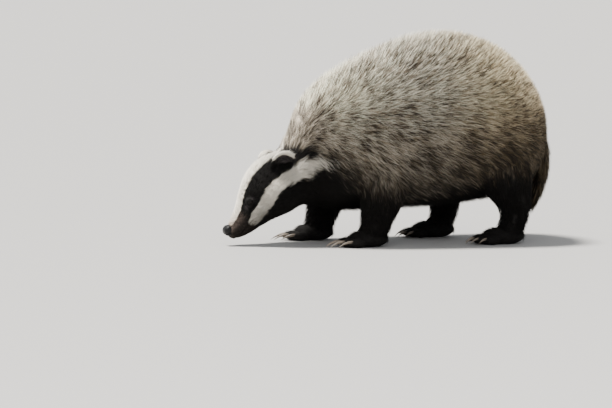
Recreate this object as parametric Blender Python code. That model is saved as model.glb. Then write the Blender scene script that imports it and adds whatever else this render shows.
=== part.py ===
"""A European badger standing with its head down to drink, life size, in metres.

It faces -X with +Z up, and stands on z = 0 with its left side towards -Y. The body is one loft
through outline stations, parted into head, neck, torso and tail, and the legs stand in blocks
cut out of the torso.
"""

import math

import bmesh
import bpy
import numpy as np
from mathutils import Matrix, Vector

MM = 0.001

# Driving dimensions, in millimetres
GAP = 0.3
TAIL_GAP = 1.5
BACK_HEIGHT = 315.0
CHEST_CLEARANCE = 50.0
RUMP_REACH = 237.0
NOSE_TIP = (-254.0, 25.5)
HEAD_PITCH = 51.5
HEAD_HALF_WIDTH = 54.0
BODY_HALF_WIDTH = 118.0
COAT_DEPTH = 18.0
CORE_SHARE = 0.5
PAW_TOP = 24.0

# Eyes: radius, place along the head's axis and above it, distance from the middle, way they look
EYE_RADIUS = 5.6
EYE_PLACE = (55.0, -3.5)
EYE_SPREAD = 23.2
EYE_LOOK = (-0.47, 0.88, -0.04)

# Lids: half sizes of their oval, height above the eye's middle, radius of the ring
LID_HALF = (6.2, 4.7)
LID_RISE = 2.9
LID_RADIUS = 1.6

# Nose pad: place along the head's axis and above it, half sizes along, across and up
NOSE_PLACE = (4.7, -8.4)
NOSE_HALF = (8.2, 12.2, 7.6)

# Nostrils: along, across and above of the hole's outer and inner end, with the radius there
NOSTRIL = ((-5.5, 5.4, -8.8, 2.2), (2.0, 5.0, -9.6, 1.3))

# Ears, for the left side (-1) and the right (1): middle and splay outwards; then the backward lean
EAR_ROOTS = {-1: (-172.0, -39.5, 122.0), 1: (-172.0, 39.5, 119.5)}
EAR_SPLAY = {-1: 0.5, 1: 0.72}
EAR_LEAN = 24.0

# Ear cup: half sizes of the shell and of its hollow, and the hollow's shift outwards and upwards
EAR_HALF = (11.0, 18.0, 24.0)
HOLLOW_HALF = (13.0, 14.0, 20.0)
HOLLOW_SHIFT = (8.0, 1.0)

# Mouth: station of its front, then the tube's radius along it and at its corner
LIPS = (0.4, 2.4, 1.2)
MOUTH_LINE = (0.15, 1.2, 0.6)

# Locks of hair: length, width, thickness and coat depth; then their shape from root to tip
BODY_LOCK = (94.0, 48.0, 6.0, COAT_DEPTH)
NECK_LOCK = (60.0, 34.0, 5.0, 14.0)
TAIL_LOCK = (54.0, 24.0, 4.5, 10.0)
LEG_LOCK = (44.0, 28.0, 4.0, 6.0)
LOCK_SHARES = (0.0, 0.34, 0.7, 1.0)
LOCK_HEIGHTS = (-0.2, 0.06, 0.34, 0.62)
LOCK_TAPER = np.array((0.55, 1.0, 0.65))

# Mesh fineness
HEAD_POINTS = 24
BODY_POINTS = 24
LEG_POINTS = 12


def head_axis():
    """Direction of the head's axis, from the nose backwards and up."""
    pitch = math.radians(HEAD_PITCH)
    return Vector((math.cos(pitch), 0, math.sin(pitch)))


def head_place(along, above):
    """Side-view place of a point on the head, along its axis from the nose tip and above it."""
    axis = head_axis()
    x = NOSE_TIP[0] + along * axis.x - above * axis.z
    z = NOSE_TIP[1] + along * axis.z + above * axis.x
    return x, z


def head_station(along, top, bottom, half_width, narrowing):
    """Outline station square to the head's axis."""
    return (*head_place(along, top), *head_place(along, bottom), half_width, narrowing, 0.0)


# Outline stations: dorsal x, z, ventral x, z, half width, narrowing towards the back, coat depth
STATIONS = {
    "lips": head_station(1, -9, -25, 9.5, 0.0),
    "nose": head_station(7, -4, -30, 14.5, 0.05),
    "muzzle": head_station(20, 0, -37, 19.0, 0.12),
    "bridge": head_station(38, 5.5, -43.5, 24.0, 0.17),
    "eyes": head_station(58, 14.5, -52, 31.0, 0.22),
    "cheeks": head_station(80, 22, -64, 45.0, 0.24),
    "crown": (*head_place(103, 23), -143.3, 55.0, 52.5, 0.2, 0.0),
    "ears": (*head_place(125, 17), -134.0, 58.5, HEAD_HALF_WIDTH, 0.13, 0.0),
    "nape": (-167.0, 142.5, -126.0, 59.0, 56.0, 0.08, 4.0),
    "neck": (-149.0, 175.0, -114.0, 57.0, 64.0, 0.06, 14.0),
    "neck_base": (-136.0, 209.0, -100.0, 54.0, 76.0, 0.05, COAT_DEPTH),
    "shoulder": (-112.0, 237.0, -82.0, 51.0, 92.0, 0.06, COAT_DEPTH),
    "withers": (-77.0, 262.0, -50.0, CHEST_CLEARANCE, 104.0, 0.08, COAT_DEPTH),
    "chest": (-30.0, 286.0, -10.0, 51.0, 110.0, 0.1, COAT_DEPTH),
    "ribs": (25.0, 307.0, 30.0, 52.0, 114.0, 0.1, COAT_DEPTH),
    "back": (75.0, BACK_HEIGHT, 75.0, 54.5, BODY_HALF_WIDTH, 0.1, COAT_DEPTH),
    "loin": (125.0, 309.5, 120.0, 59.0, 120.0, 0.08, COAT_DEPTH),
    "hip": (171.0, 290.0, 158.0, 64.0, 117.0, 0.04, COAT_DEPTH),
    "rump": (208.0, 256.0, 189.0, 69.0, 105.0, 0.0, COAT_DEPTH),
    "seat": (230.0, 216.0, 208.0, 80.0, 84.0, 0.0, COAT_DEPTH),
    "rear": (RUMP_REACH, 180.0, 224.0, 104.0, 54.0, 0.0, COAT_DEPTH),
    "dock": (RUMP_REACH + 2, 160.0, 232.0, 126.0, 24.0, 0.0, 14.0),
}
NAMES = list(STATIONS)
ROWS = np.array(list(STATIONS.values()))
HEAD_END = NAMES.index("nape")
NECK_END = NAMES.index("neck_base")
BODY_END = len(NAMES) - 1

# Legs: x, distance from the middle, z, half length, half width of each level, top to bottom
FORELEG = (
    (-52, 52, 150, 44, 34),
    (-34, 62, 105, 42, 34),
    (-26, 66, 74, 35, 29),
    (-32, 66, 48, 28, 24),
    (-38, 66, 28, 24, 22),
    (-44, 66, 14, 25, 22),
)
HINDLEG = (
    (-12, 54, 160, 58, 42),
    (-16, 62, 112, 52, 40),
    (-4, 68, 76, 36, 31),
    (6, 70, 50, 24, 24),
    (2, 70, 28, 22, 21),
    (-8, 70, 14, 26, 22),
)
# Each leg: its levels, side (-1 left), shift forward or back, block half length, length of its paw
LEGS = {
    "foreleg_left": (FORELEG, -1, 0.0, 52.0, 62.0),
    "foreleg_right": (FORELEG, 1, -48.0, 50.0, 62.0),
    "hindleg_left": (HINDLEG, -1, 172.0, 58.0, 68.0),
    "hindleg_right": (HINDLEG, 1, 106.0, 56.0, 68.0),
}
LEG_INNER = 26.0
LEG_TOP_INNER = 66.0
LEG_TOP_OUTER = 118.0

# Toes of a left paw from the inner to the outer: across, set back, half length
TOES = ((-19.0, 9.0, 12.0), (-10.5, 2.0, 14.0), (-1.0, 0.0, 15.0), (9.0, 2.5, 14.0), (18.0, 10.0, 12.0))
TOE_RADIUS = 7.2
FORE_CLAW = 23.0
HIND_CLAW = 14.0

# Tail: x, z, half thickness, half width along its middle, root to tip; and the space kept for it
TAIL_SPACE = ((195.0, -42.0, 30.0), (260.0, 42.0, 186.0))
TAIL = (
    (214, 178, 12, 16),
    (231, 168, 12, 19),
    (241, 146, 12, 23),
    (243, 118, 11, 25),
    (239, 88, 10, 24),
    (231, 62, 8, 17),
    (224, 42, 3, 6),
)


def between(rows, t):
    """Rows read at places t, counted in stations, on a Catmull-Rom curve through them."""
    rows = np.asarray(rows, float)
    t = np.asarray(t, float)
    low = np.clip(np.floor(t).astype(int), 0, len(rows) - 2)
    f = (t - low)[:, None]
    before = rows[np.maximum(low - 1, 0)]
    start, end = rows[low], rows[low + 1]
    after = rows[np.minimum(low + 2, len(rows) - 1)]
    return 0.5 * (
        2 * start
        + (end - before) * f
        + (2 * before - 5 * start + 4 * end - after) * f**2
        + (3 * start - before - 3 * end + after) * f**3
    )


def body_points(t, turn, inset):
    """Points of the body at stations t and at turns round it from its left side up, inset from the
    outline: an ellipse from the dorsal to the ventral line, narrower above."""
    rows = between(ROWS, t)
    turn, inset = np.broadcast_arrays(turn, inset)
    centre, up = (rows[:, 0:2] + rows[:, 2:4]) / 2, (rows[:, 0:2] - rows[:, 2:4]) / 2
    reach = np.linalg.norm(up, axis=1)
    high = np.sin(turn) * np.maximum(reach - inset, 1.0) / reach
    wide = np.maximum(rows[:, 4] - inset, 1.0) * np.cos(turn) * (1 - rows[:, 5] * np.sin(turn))
    return np.stack([centre[:, 0] + up[:, 0] * high, -wide, centre[:, 1] + up[:, 1] * high], 1)


def coat_depth(t):
    """Depth of the coat at stations t."""
    return between(ROWS, t)[:, 6]


def body_rings(t, points, inset=0.0, share=0.0):
    """Rings of the body at stations t, inset by a length and by a share of the coat's depth."""
    turn = np.linspace(0, 2 * math.pi, points, endpoint=False)
    depth = inset + share * coat_depth(t)
    flat = body_points(np.repeat(t, points), np.tile(turn, len(t)), np.repeat(depth, points))
    return flat.reshape(len(t), points, 3)


def ring_plane(station):
    """Middle and backward normal of the body's ring at a station, as vectors in millimetres."""
    row = ROWS[station]
    middle = Vector(((row[0] + row[2]) / 2, 0, (row[1] + row[3]) / 2))
    up = Vector((row[0] - row[2], 0, row[1] - row[3])).normalized()
    return middle, Vector((0, 1, 0)).cross(up)


def mesh_object(name, verts, faces):
    """New object from points in millimetres, with its faces turned outwards."""
    mesh = bpy.data.meshes.new(name)
    mesh.from_pydata([Vector(v) * MM for v in verts], [], faces)
    bm = bmesh.new()
    bm.from_mesh(mesh)
    bmesh.ops.recalc_face_normals(bm, faces=bm.faces)
    bmesh.ops.triangulate(bm, faces=[f for f in bm.faces if len(f.verts) > 4])
    bm.to_mesh(mesh)
    bm.free()
    obj = bpy.data.objects.new(name, mesh)
    bpy.context.scene.collection.objects.link(obj)
    return obj


def loft(name, rings, tip=None):
    """Closed solid through rings, ended by flat caps, or by a point at the last end."""
    rings = np.asarray(rings)
    count, points = rings.shape[:2]
    verts = [tuple(v) for v in rings.reshape(-1, 3)]
    faces = []
    for i in range(count - 1):
        for j in range(points):
            k = (j + 1) % points
            faces.append((i * points + j, i * points + k, (i + 1) * points + k, (i + 1) * points + j))
    faces.append(tuple(range(points)))
    last = [(count - 1) * points + j for j in range(points)]
    if tip is None:
        faces.append(tuple(last))
    else:
        verts.append(tuple(tip))
        faces += [(last[j], last[(j + 1) % points], len(verts) - 1) for j in range(points)]
    return mesh_object(name, verts, faces)


def ellipsoid(name, centre, half_sizes, turn=None, segments=12, rings=8):
    """Ellipsoid with its half sizes along its own axes, turned by a matrix, in millimetres."""
    mesh = bpy.data.meshes.new(name)
    bm = bmesh.new()
    bmesh.ops.create_uvsphere(bm, u_segments=segments, v_segments=rings, radius=1)
    bmesh.ops.scale(bm, vec=Vector(half_sizes) * MM, verts=bm.verts)
    if turn is not None:
        bmesh.ops.transform(bm, matrix=turn.to_4x4(), verts=bm.verts)
    bmesh.ops.translate(bm, vec=Vector(centre) * MM, verts=bm.verts)
    bm.to_mesh(mesh)
    bm.free()
    obj = bpy.data.objects.new(name, mesh)
    bpy.context.scene.collection.objects.link(obj)
    return obj


def tube(name, path, radii, sides=8):
    """Round closed tube along a path, with its own radius at each point, in millimetres."""
    path = [Vector(p) for p in path]
    rings = []
    side = None
    for i, p in enumerate(path):
        ahead = (path[min(i + 1, len(path) - 1)] - path[max(i - 1, 0)]).normalized()
        if side is None:
            side = ahead.orthogonal().normalized()
        side = (side - ahead * side.dot(ahead)).normalized()
        other = ahead.cross(side)
        turns = [2 * math.pi * k / sides for k in range(sides)]
        rings.append([p + (side * math.cos(a) + other * math.sin(a)) * radii[i] for a in turns])
    return loft(name, [[tuple(v) for v in ring] for ring in rings])


def apply_boolean(obj, operation, others, solver="EXACT"):
    """Joins others to obj, or cuts them from it, in one Boolean, and removes them."""
    group = bpy.data.collections.new("operands")
    bpy.context.scene.collection.children.link(group)
    for other in others:
        for owner in list(other.users_collection):
            owner.objects.unlink(other)
        group.objects.link(other)
    modifier = obj.modifiers.new("shape", "BOOLEAN")
    modifier.operation = operation
    modifier.operand_type = "COLLECTION"
    modifier.collection = group
    modifier.solver = solver
    bpy.context.view_layer.update()
    graph = bpy.context.evaluated_depsgraph_get()
    mesh = bpy.data.meshes.new_from_object(obj.evaluated_get(graph))
    obj.modifiers.clear()
    old = obj.data
    obj.data = mesh
    bpy.data.meshes.remove(old)
    for other in list(group.objects):
        bpy.data.objects.remove(other)
    bpy.data.collections.remove(group)
    return obj


def copy_of(obj, name):
    """Copy of an object with its own mesh."""
    twin = obj.copy()
    twin.data = obj.data.copy()
    twin.name = twin.data.name = name
    bpy.context.scene.collection.objects.link(twin)
    return twin


def half_space(point, normal, shift=0.0):
    """Large block that fills the side of a plane that its normal points to, in millimetres."""
    size = 900.0
    normal = Vector(normal).normalized()
    across = normal.orthogonal().normalized()
    turn = Matrix((across, normal.cross(across), normal)).transposed()
    start = Vector(point) + normal * shift
    corners = [(x, y, z) for z in (0, size) for y in (-size, size) for x in (-size, size)]
    verts = [start + turn @ Vector(c) for c in corners]
    faces = [(0, 1, 3, 2), (4, 5, 7, 6), (0, 1, 5, 4), (2, 3, 7, 6), (0, 2, 6, 4), (1, 3, 7, 5)]
    return mesh_object("half_space", verts, faces)


def largest_shell(obj):
    """Keeps the largest closed surface of a mesh and drops the rest."""
    bm = bmesh.new()
    bm.from_mesh(obj.data)
    left = set(bm.faces)
    shells = []
    while left:
        front = [left.pop()]
        shell = list(front)
        while front:
            for edge in front.pop().edges:
                for face in edge.link_faces:
                    if face in left:
                        left.remove(face)
                        front.append(face)
                        shell.append(face)
        shells.append(shell)
    shells.sort(key=lambda shell: sum(face.calc_area() for face in shell))
    for shell in shells[:-1]:
        bmesh.ops.delete(bm, geom=shell, context="FACES")
    bm.to_mesh(obj.data)
    bm.free()


def body_loft(name, first, last, per_station, inset=0.0, share=0.0, tip=None):
    """Part of the body between two stations, with that many rings for each."""
    t = np.linspace(first, last, round((last - first) * per_station) + 1)
    points = HEAD_POINTS if last <= HEAD_END else BODY_POINTS
    return loft(name, body_rings(t, points, inset, share), tip)


def body_lie(places):
    """Direction in which the hair lies at places on the body, in millimetres: backwards, more
    downwards low on the flanks, and straight down over the rump."""
    x, y, z = places.T
    low = np.clip((230.0 - z) / 130.0, 0, 1) * np.clip(np.abs(y) / 90.0, 0, 1)
    rump = np.clip((x - 150.0) / 70.0, 0, 1)
    return np.stack([1.0 - 0.85 * rump, 0 * y, -0.15 - 0.55 * low - 0.85 * rump], 1)


def hanging_lie(places):
    """Hair of a limb or the tail, lying downwards."""
    return np.broadcast_to((0.12, 0.0, -1.0), places.shape)


def surface_frame(surface, t, turn, inset):
    """Places on a surface, its outward normals, and its steps by station and by turn."""
    small = 0.01
    here = surface(t, turn, inset)
    by_t = (surface(t + small, turn, inset) - surface(t - small, turn, inset)) / (2 * small)
    by_turn = (surface(t, turn + small, inset) - surface(t, turn - small, inset)) / (2 * small)
    normal = np.cross(by_t, by_turn)
    normal /= np.linalg.norm(normal, axis=1, keepdims=True)
    return here, normal, by_t, by_turn


def follow(surface, lie, t, turn, distance, bend):
    """Walks a distance over a surface along the lie of the hair, turned by small angles."""
    steps = max(1, round(distance / 10.0))
    for _ in range(steps):
        here, normal, by_t, by_turn = surface_frame(surface, t, turn, 0.0)
        flow = lie(here)
        flow = flow + np.cross(normal, flow) * bend[:, None]
        tt, tu, uu = (by_t * by_t).sum(1), (by_t * by_turn).sum(1), (by_turn * by_turn).sum(1)
        ft, fu = (flow * by_t).sum(1), (flow * by_turn).sum(1)
        step_t, step_turn = ft * uu - fu * tu, fu * tt - ft * tu
        size = np.linalg.norm(step_t[:, None] * by_t + step_turn[:, None] * by_turn, axis=1)
        scale = distance / steps / np.maximum(size, 1e-6)
        t, turn = t + scale * step_t, turn + scale * step_turn
    return t, turn


def lock_roots(surface, lie, first, last, across, along, random):
    """Places of the roots of locks between two stations, kept apart across and along the lie."""
    t = random.uniform(first, last, 5000)
    turn = random.uniform(0, 2 * math.pi, 5000)
    here = surface(t, turn, 0.0)
    flow = lie(here)
    flow = flow / np.linalg.norm(flow, axis=1, keepdims=True)
    chosen = []
    for i in range(len(t)):
        away = here[chosen] - here[i]
        ahead = away @ flow[i]
        beside = np.sqrt(np.maximum((away**2).sum(1) - ahead**2, 0))
        if not chosen or np.min((ahead / along) ** 2 + (beside / across) ** 2) > 1:
            chosen.append(i)
    return t[chosen], turn[chosen]


def blade(middles, sides, normals, widths, thicknesses):
    """Flat lock of hair: four-cornered rings along a path, drawn out to a point at its end."""
    rings = []
    for p, side, normal, wide, thick in zip(middles[:-1], sides, normals, widths, thicknesses):
        beside, above = side * wide / 2, normal * thick / 2
        rings.append([p + beside, p + above, p - beside, p - above])
    return loft("lock", np.array(rings), tip=tuple(middles[-1]))


def enters(path, box):
    """Whether any point of a path lies in a box given by its lowest and highest corners."""
    if box is None:
        return False
    return bool(np.any(np.all((path > box[0]) & (path < box[1]), axis=-1)))


def locks(surface, lie, first, last, size, seed, clear=None):
    """Locks rooted in a core between two stations, rising along the lie towards the outline.
    The size is a length, a width, a thickness and the depth of the coat. None of them enters the
    box that is kept clear."""
    length, width, thickness, coat = size
    random = np.random.default_rng(seed)
    t, turn = lock_roots(surface, lie, first, last, 0.95 * width, 0.66 * length, random)
    bend = random.normal(0, 0.12, len(t))
    curl = random.normal(0, 0.12, len(t))
    path = []
    reached = 0.0
    for i, (share, height) in enumerate(zip(LOCK_SHARES, LOCK_HEIGHTS)):
        if i:
            t, turn = follow(surface, lie, t, turn, (share - reached) * length, bend + curl * i)
            reached = share
        path.append(surface_frame(surface, t, turn, coat * (CORE_SHARE - height))[:2])
    result = []
    for k in range(len(t)):
        middles = np.array([here[k] for here, _ in path])
        if enters(middles, clear):
            continue
        ahead = np.gradient(middles, axis=0)
        sides = np.cross(ahead, [normal[k] for _, normal in path])
        sides /= np.linalg.norm(sides, axis=1, keepdims=True)
        normals = np.cross(sides, ahead)
        normals /= np.linalg.norm(normals, axis=1, keepdims=True)
        wide = width * random.uniform(0.85, 1.1)
        result.append(blade(middles, sides, normals, wide * LOCK_TAPER, thickness * LOCK_TAPER**0.7))
    return result


def eye_place(side):
    """Middle of an eyeball and the outward direction that it looks in."""
    x, z = head_place(*EYE_PLACE)
    out = Vector((EYE_LOOK[0], side * EYE_LOOK[1], EYE_LOOK[2])).normalized()
    return Vector((x, side * EYE_SPREAD, z)), out


def frame_of(ahead, up):
    """Turn whose columns are ahead, across and up, made square."""
    ahead = Vector(ahead).normalized()
    across = Vector(up).cross(ahead).normalized()
    return Matrix((ahead, across, ahead.cross(across))).transposed()


def lid_ring(side):
    """Eyelids: a slim oval ring round the eye, set on the head."""
    middle, out = eye_place(side)
    turn = frame_of(out, out.cross(head_axis()))
    steps, sides = 14, 5
    rings = []
    for i in range(steps):
        a = 2 * math.pi * i / steps
        spot = Vector((LID_RISE, math.cos(a) * LID_HALF[0], math.sin(a) * LID_HALF[1]))
        away = Vector((0, math.cos(a), math.sin(a)))
        ring = []
        for k in range(sides):
            b = 2 * math.pi * k / sides
            lift = Vector((math.sin(b) * LID_RADIUS, 0, 0))
            ring.append(middle + turn @ (spot + away * math.cos(b) * LID_RADIUS + lift))
        rings.append(ring)
    verts = [v for ring in rings for v in ring]
    faces = []
    for i in range(steps):
        for k in range(sides):
            n, m = (i + 1) % steps, (k + 1) % sides
            faces.append((i * sides + k, i * sides + m, n * sides + m, n * sides + k))
    return mesh_object("lids", verts, faces)


def mouth_tube(name, side, first, thick, end):
    """Tube laid along the mouth on one side, from a station at the front back to its corner."""
    path = []
    places = ((first, -0.42), (1.0, -0.35), (1.6, -0.28), (2.2, -0.22), (2.8, -0.2), (3.35, -0.26))
    for t, high in places:
        row = between(ROWS, [t])[0]
        centre, up = (row[0:2] + row[2:4]) / 2, (row[0:2] - row[2:4]) / 2
        wide = row[4] * math.sqrt(1 - high**2) * (1 - row[5] * high)
        path.append((centre[0] + up[0] * high, side * wide, centre[1] + up[1] * high))
    return tube(name, path, [thick] * (len(path) - 1) + [end], sides=6)


def nose_pad(grow=0.0):
    """Broad, blunt nose pad at the muzzle's end."""
    x, z = head_place(*NOSE_PLACE)
    half = [size + grow for size in NOSE_HALF]
    turn = frame_of(head_axis(), (0, 1, 0)) @ Matrix.Rotation(math.pi / 2, 3, "X")
    return ellipsoid("nose_pad", (x, 0, z), half, turn, 16, 10)


def nostril(side):
    """Nostril: a short slanted hole in the front of the pad."""
    path = []
    for along, across, above, _ in NOSTRIL:
        x, z = head_place(along, above)
        path.append((x, side * across, z))
    return tube("nostril", path, [row[3] for row in NOSTRIL], sides=8)


def ear(name, side):
    """Small rounded ear cup: a thick shell with its hollow facing out and forward."""
    along = Vector((0.95, 0, 0.31))
    up = (Vector((-0.31, 0, 0.95)) * 0.87 + Vector((0, side * EAR_SPLAY[side], 0))).normalized()
    out = (along.cross(up) * -side - along * 0.35).normalized()
    up = Matrix.Rotation(math.radians(side * EAR_LEAN), 3, out) @ up
    turn = frame_of(out, up)
    middle = Vector(EAR_ROOTS[side])
    shell = ellipsoid(name, middle, EAR_HALF, turn, 14, 10)
    shift = out * HOLLOW_SHIFT[0] + up * HOLLOW_SHIFT[1]
    hollow = ellipsoid("hollow", middle + shift, HOLLOW_HALF, turn, 14, 10)
    apply_boolean(shell, "DIFFERENCE", [hollow])
    inside = body_loft("inside", 3, HEAD_END, 2, inset=-GAP)
    behind, normal = ring_plane(HEAD_END)
    apply_boolean(shell, "DIFFERENCE", [inside])
    apply_boolean(shell, "DIFFERENCE", [half_space(behind, normal, -GAP)])
    largest_shell(shell)
    return shell


def eye(name, side):
    """Eyeball, seated in its socket."""
    middle, _ = eye_place(side)
    return ellipsoid(name, middle, (EYE_RADIUS,) * 3, None, 12, 8)


def head(name):
    """Head with lids, sockets, lips along the line of the mouth and a seat for the nose pad."""
    solid = body_loft(name, 0, HEAD_END, 2)
    apply_boolean(solid, "UNION", [lid_ring(side) for side in (-1, 1)])
    apply_boolean(solid, "UNION", [mouth_tube("lips", side, *LIPS) for side in (-1, 1)])
    cutters = [nose_pad(GAP)]
    for side in (-1, 1):
        middle, _ = eye_place(side)
        cutters.append(ellipsoid("socket", middle, (EYE_RADIUS + GAP,) * 3, None, 12, 8))
        cutters.append(mouth_tube("groove", side, *MOUTH_LINE))
    for cutter in cutters:
        apply_boolean(solid, "DIFFERENCE", [cutter])
    largest_shell(solid)
    return solid


def nose(name):
    """Nose pad with its nostrils."""
    pad = nose_pad()
    pad.name = name
    apply_boolean(pad, "DIFFERENCE", [nostril(-1), nostril(1)])
    return pad


def leg_points(leg, t, turn, inset):
    """Points of a leg at levels t and at turns round it, inset from its outline."""
    levels, side, shift = LEGS[leg][:3]
    rows = between(levels, t)
    x = shift + rows[:, 0] + (rows[:, 3] - inset) * np.cos(turn)
    y = side * (rows[:, 1] + (rows[:, 4] - inset) * np.sin(turn))
    return np.stack([x, y, rows[:, 2]], 1)


def leg_loft(name, leg):
    """One whole leg, from inside the torso to the paw."""
    t = np.linspace(0, len(FORELEG) - 1, 2 * len(FORELEG) - 1)
    turn = np.linspace(0, 2 * math.pi, LEG_POINTS, endpoint=False)
    flat = leg_points(leg, np.repeat(t, LEG_POINTS), np.tile(turn, len(t)), 0.0)
    return loft(name, flat.reshape(len(t), LEG_POINTS, 3))


def leg_locks(leg):
    """Locks on the outside of a leg, between the elbow or knee and the wrist."""
    side = LEGS[leg][1]

    def surface(t, turn, inset):
        return leg_points(leg, t, side * turn, inset - CORE_SHARE * LEG_LOCK[3])

    return locks(surface, hanging_lie, 1.8, 2.9, LEG_LOCK, 33)


def leg_block(leg, grow=0.0):
    """Block that a leg stands in, with a top that rises outwards."""
    levels, side, shift, half_length, _ = LEGS[leg]
    middle = shift + levels[2][0]
    low_x, high_x = middle - half_length - grow, middle + half_length + grow
    inner, outer = LEG_INNER - grow, 200.0
    slope = (LEG_TOP_OUTER - LEG_TOP_INNER) / (BODY_HALF_WIDTH - LEG_INNER)
    verts = []
    for x in (low_x, high_x):
        for y in (inner, outer):
            verts.append((x, side * y, -50.0))
            verts.append((x, side * y, LEG_TOP_INNER + slope * (y - LEG_INNER) + grow))
    faces = [(0, 1, 3, 2), (4, 5, 7, 6), (0, 1, 5, 4), (2, 3, 7, 6), (0, 2, 6, 4), (1, 3, 7, 5)]
    return mesh_object("block", verts, faces)


def tail_points(t, turn, inset):
    """Points of the tail at stations t and at turns round it, inset from its outline."""
    rows = between(TAIL, t)
    ahead = between(TAIL, t + 0.01)[:, :2] - between(TAIL, t - 0.01)[:, :2]
    ahead /= np.linalg.norm(ahead, axis=1, keepdims=True)
    thick = np.maximum(rows[:, 2] - inset, 0.5) * np.cos(turn)
    wide = np.maximum(rows[:, 3] - inset, 0.5) * np.sin(turn)
    return np.stack([rows[:, 0] - ahead[:, 1] * thick, wide, rows[:, 1] + ahead[:, 0] * thick], 1)


def claw(root, length, turn):
    """Curved, tapered claw that leaves the toe forwards and comes down to just above the ground."""
    path, radii = [], []
    for i in range(3):
        f = i / 2
        drop = root.z - 1.4
        arch = 8.0 * f * (1 - f) - drop * f**1.5
        path.append(root + turn @ Vector((-length * f, 0, 0)) + Vector((0, 0, arch)))
        radii.append(2.4 * (1 - f) + 0.35)
    return tube("claw", path, radii, sides=4)


def paw(name, leg):
    """Paw with its sole, five toes and claws, flat where it stands."""
    levels, side, shift, _, length = LEGS[leg]
    hind = leg.startswith("hind")
    x = shift + levels[-1][0]
    y = side * levels[-1][1]
    turn = Matrix.Rotation(math.radians(-4.0 * side), 3, "Z")
    sole = ellipsoid(name, (x - 4, y, 11.0), (length * 0.5, 24.0, 15.0), turn, 12, 6)
    pieces = [leg_loft("ankle", leg)]
    for across, back, half in TOES:
        base = Vector((x, y, 6.6)) + turn @ Vector((-length * 0.5 - 4 + back, side * across, 0))
        pieces.append(ellipsoid("toe", base, (half, TOE_RADIUS, TOE_RADIUS), turn, 6, 5))
        tip = base + turn @ Vector((-half + 2.5, 0, 1.0))
        pieces.append(claw(tip, HIND_CLAW if hind else FORE_CLAW, turn))
    apply_boolean(sole, "UNION", pieces)
    apply_boolean(sole, "DIFFERENCE", [half_space((0, 0, 0), (0, 0, -1))])
    apply_boolean(sole, "DIFFERENCE", [half_space((0, 0, PAW_TOP), (0, 0, 1))])
    largest_shell(sole)
    return sole


def coated_body(name):
    """Core of the neck and torso with the locks of its coat, all joined in one fast Boolean, as the
    slower solver takes minutes over so many crossing locks."""
    tip = (RUMP_REACH + 2 - CORE_SHARE * COAT_DEPTH, 0, 142.0)
    core = body_loft(name, HEAD_END - 0.25, BODY_END, 2, share=CORE_SHARE, tip=tip)
    hair = locks(body_points, body_lie, HEAD_END, NECK_END - 0.4, NECK_LOCK, 11)
    hair += locks(body_points, body_lie, NECK_END - 0.1, BODY_END - 0.8, BODY_LOCK, 12, TAIL_SPACE)
    apply_boolean(core, "UNION", hair, "MANIFOLD")
    return core


def neck_torso_and_legs():
    """Neck, torso and legs: made whole with their coat, then parted with thin cuts."""
    nape, nape_normal = ring_plane(HEAD_END)
    base, base_normal = ring_plane(NECK_END)
    whole = coated_body("whole")
    neck = copy_of(whole, "neck")
    apply_boolean(neck, "DIFFERENCE", [half_space(nape, -nape_normal, -GAP)], "MANIFOLD")
    apply_boolean(neck, "DIFFERENCE", [half_space(base, base_normal)], "MANIFOLD")
    torso = whole
    torso.name = torso.data.name = "torso"
    apply_boolean(torso, "DIFFERENCE", [half_space(base, -base_normal, -GAP)], "MANIFOLD")
    parts = [neck, torso]
    for leg in LEGS:
        limb = copy_of(torso, leg)
        apply_boolean(limb, "UNION", [leg_loft("limb", leg)] + leg_locks(leg), "MANIFOLD")
        apply_boolean(limb, "INTERSECT", [leg_block(leg)], "MANIFOLD")
        apply_boolean(limb, "DIFFERENCE", [half_space((0, 0, PAW_TOP + GAP), (0, 0, -1))], "MANIFOLD")
        apply_boolean(limb, "DIFFERENCE", [half_space(base, -base_normal, -GAP)], "MANIFOLD")
        parts.append(limb)
    for leg in LEGS:
        apply_boolean(torso, "DIFFERENCE", [leg_block(leg, GAP)], "MANIFOLD")
    for part in parts:
        largest_shell(part)
    return parts


def tail(name):
    """Short bushy tail, hanging close behind the rump."""
    count, points = 2 * len(TAIL) - 1, 12
    t = np.linspace(0, len(TAIL) - 1, count)
    turn = np.linspace(0, 2 * math.pi, points, endpoint=False)
    depth = CORE_SHARE * TAIL_LOCK[3]
    flat = tail_points(np.repeat(t, points), np.tile(turn, count), depth)
    solid = loft(name, flat.reshape(count, points, 3))
    hair = locks(tail_points, hanging_lie, 1.3, len(TAIL) - 3.0, TAIL_LOCK, 23)
    apply_boolean(solid, "UNION", hair, "MANIFOLD")
    tip = (RUMP_REACH + 2 + TAIL_GAP, 0, 140.0)
    rump = body_loft("rump", NECK_END - 0.25, BODY_END, 2, inset=-TAIL_GAP, tip=tip)
    apply_boolean(solid, "DIFFERENCE", [rump], "MANIFOLD")
    largest_shell(solid)
    return solid


def finish_material(name, colour, roughness):
    """Plain material with the part's colour and roughness."""
    material = bpy.data.materials.new(name)
    material.use_nodes = True
    shader = material.node_tree.nodes["Principled BSDF"]
    shader.inputs["Base Color"].default_value = (*colour, 1.0)
    shader.inputs["Roughness"].default_value = roughness
    shader.inputs["Metallic"].default_value = 0.0
    return material


MATERIALS = {
    "grey_coat": ((0.23, 0.2, 0.165), 0.85),
    "face_fur": ((0.62, 0.59, 0.53), 0.8),
    "black_fur": ((0.02, 0.018, 0.016), 0.8),
    "nose_leather": ((0.02, 0.018, 0.018), 0.45),
    "eye_gloss": ((0.012, 0.008, 0.006), 0.08),
}


def dress(obj, material):
    """Gives an object its material and shades its round faces smooth."""
    obj.data.materials.clear()
    obj.data.materials.append(material)
    obj.data.shade_smooth()
    obj.data.set_sharp_from_angle(angle=math.radians(40))


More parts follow.
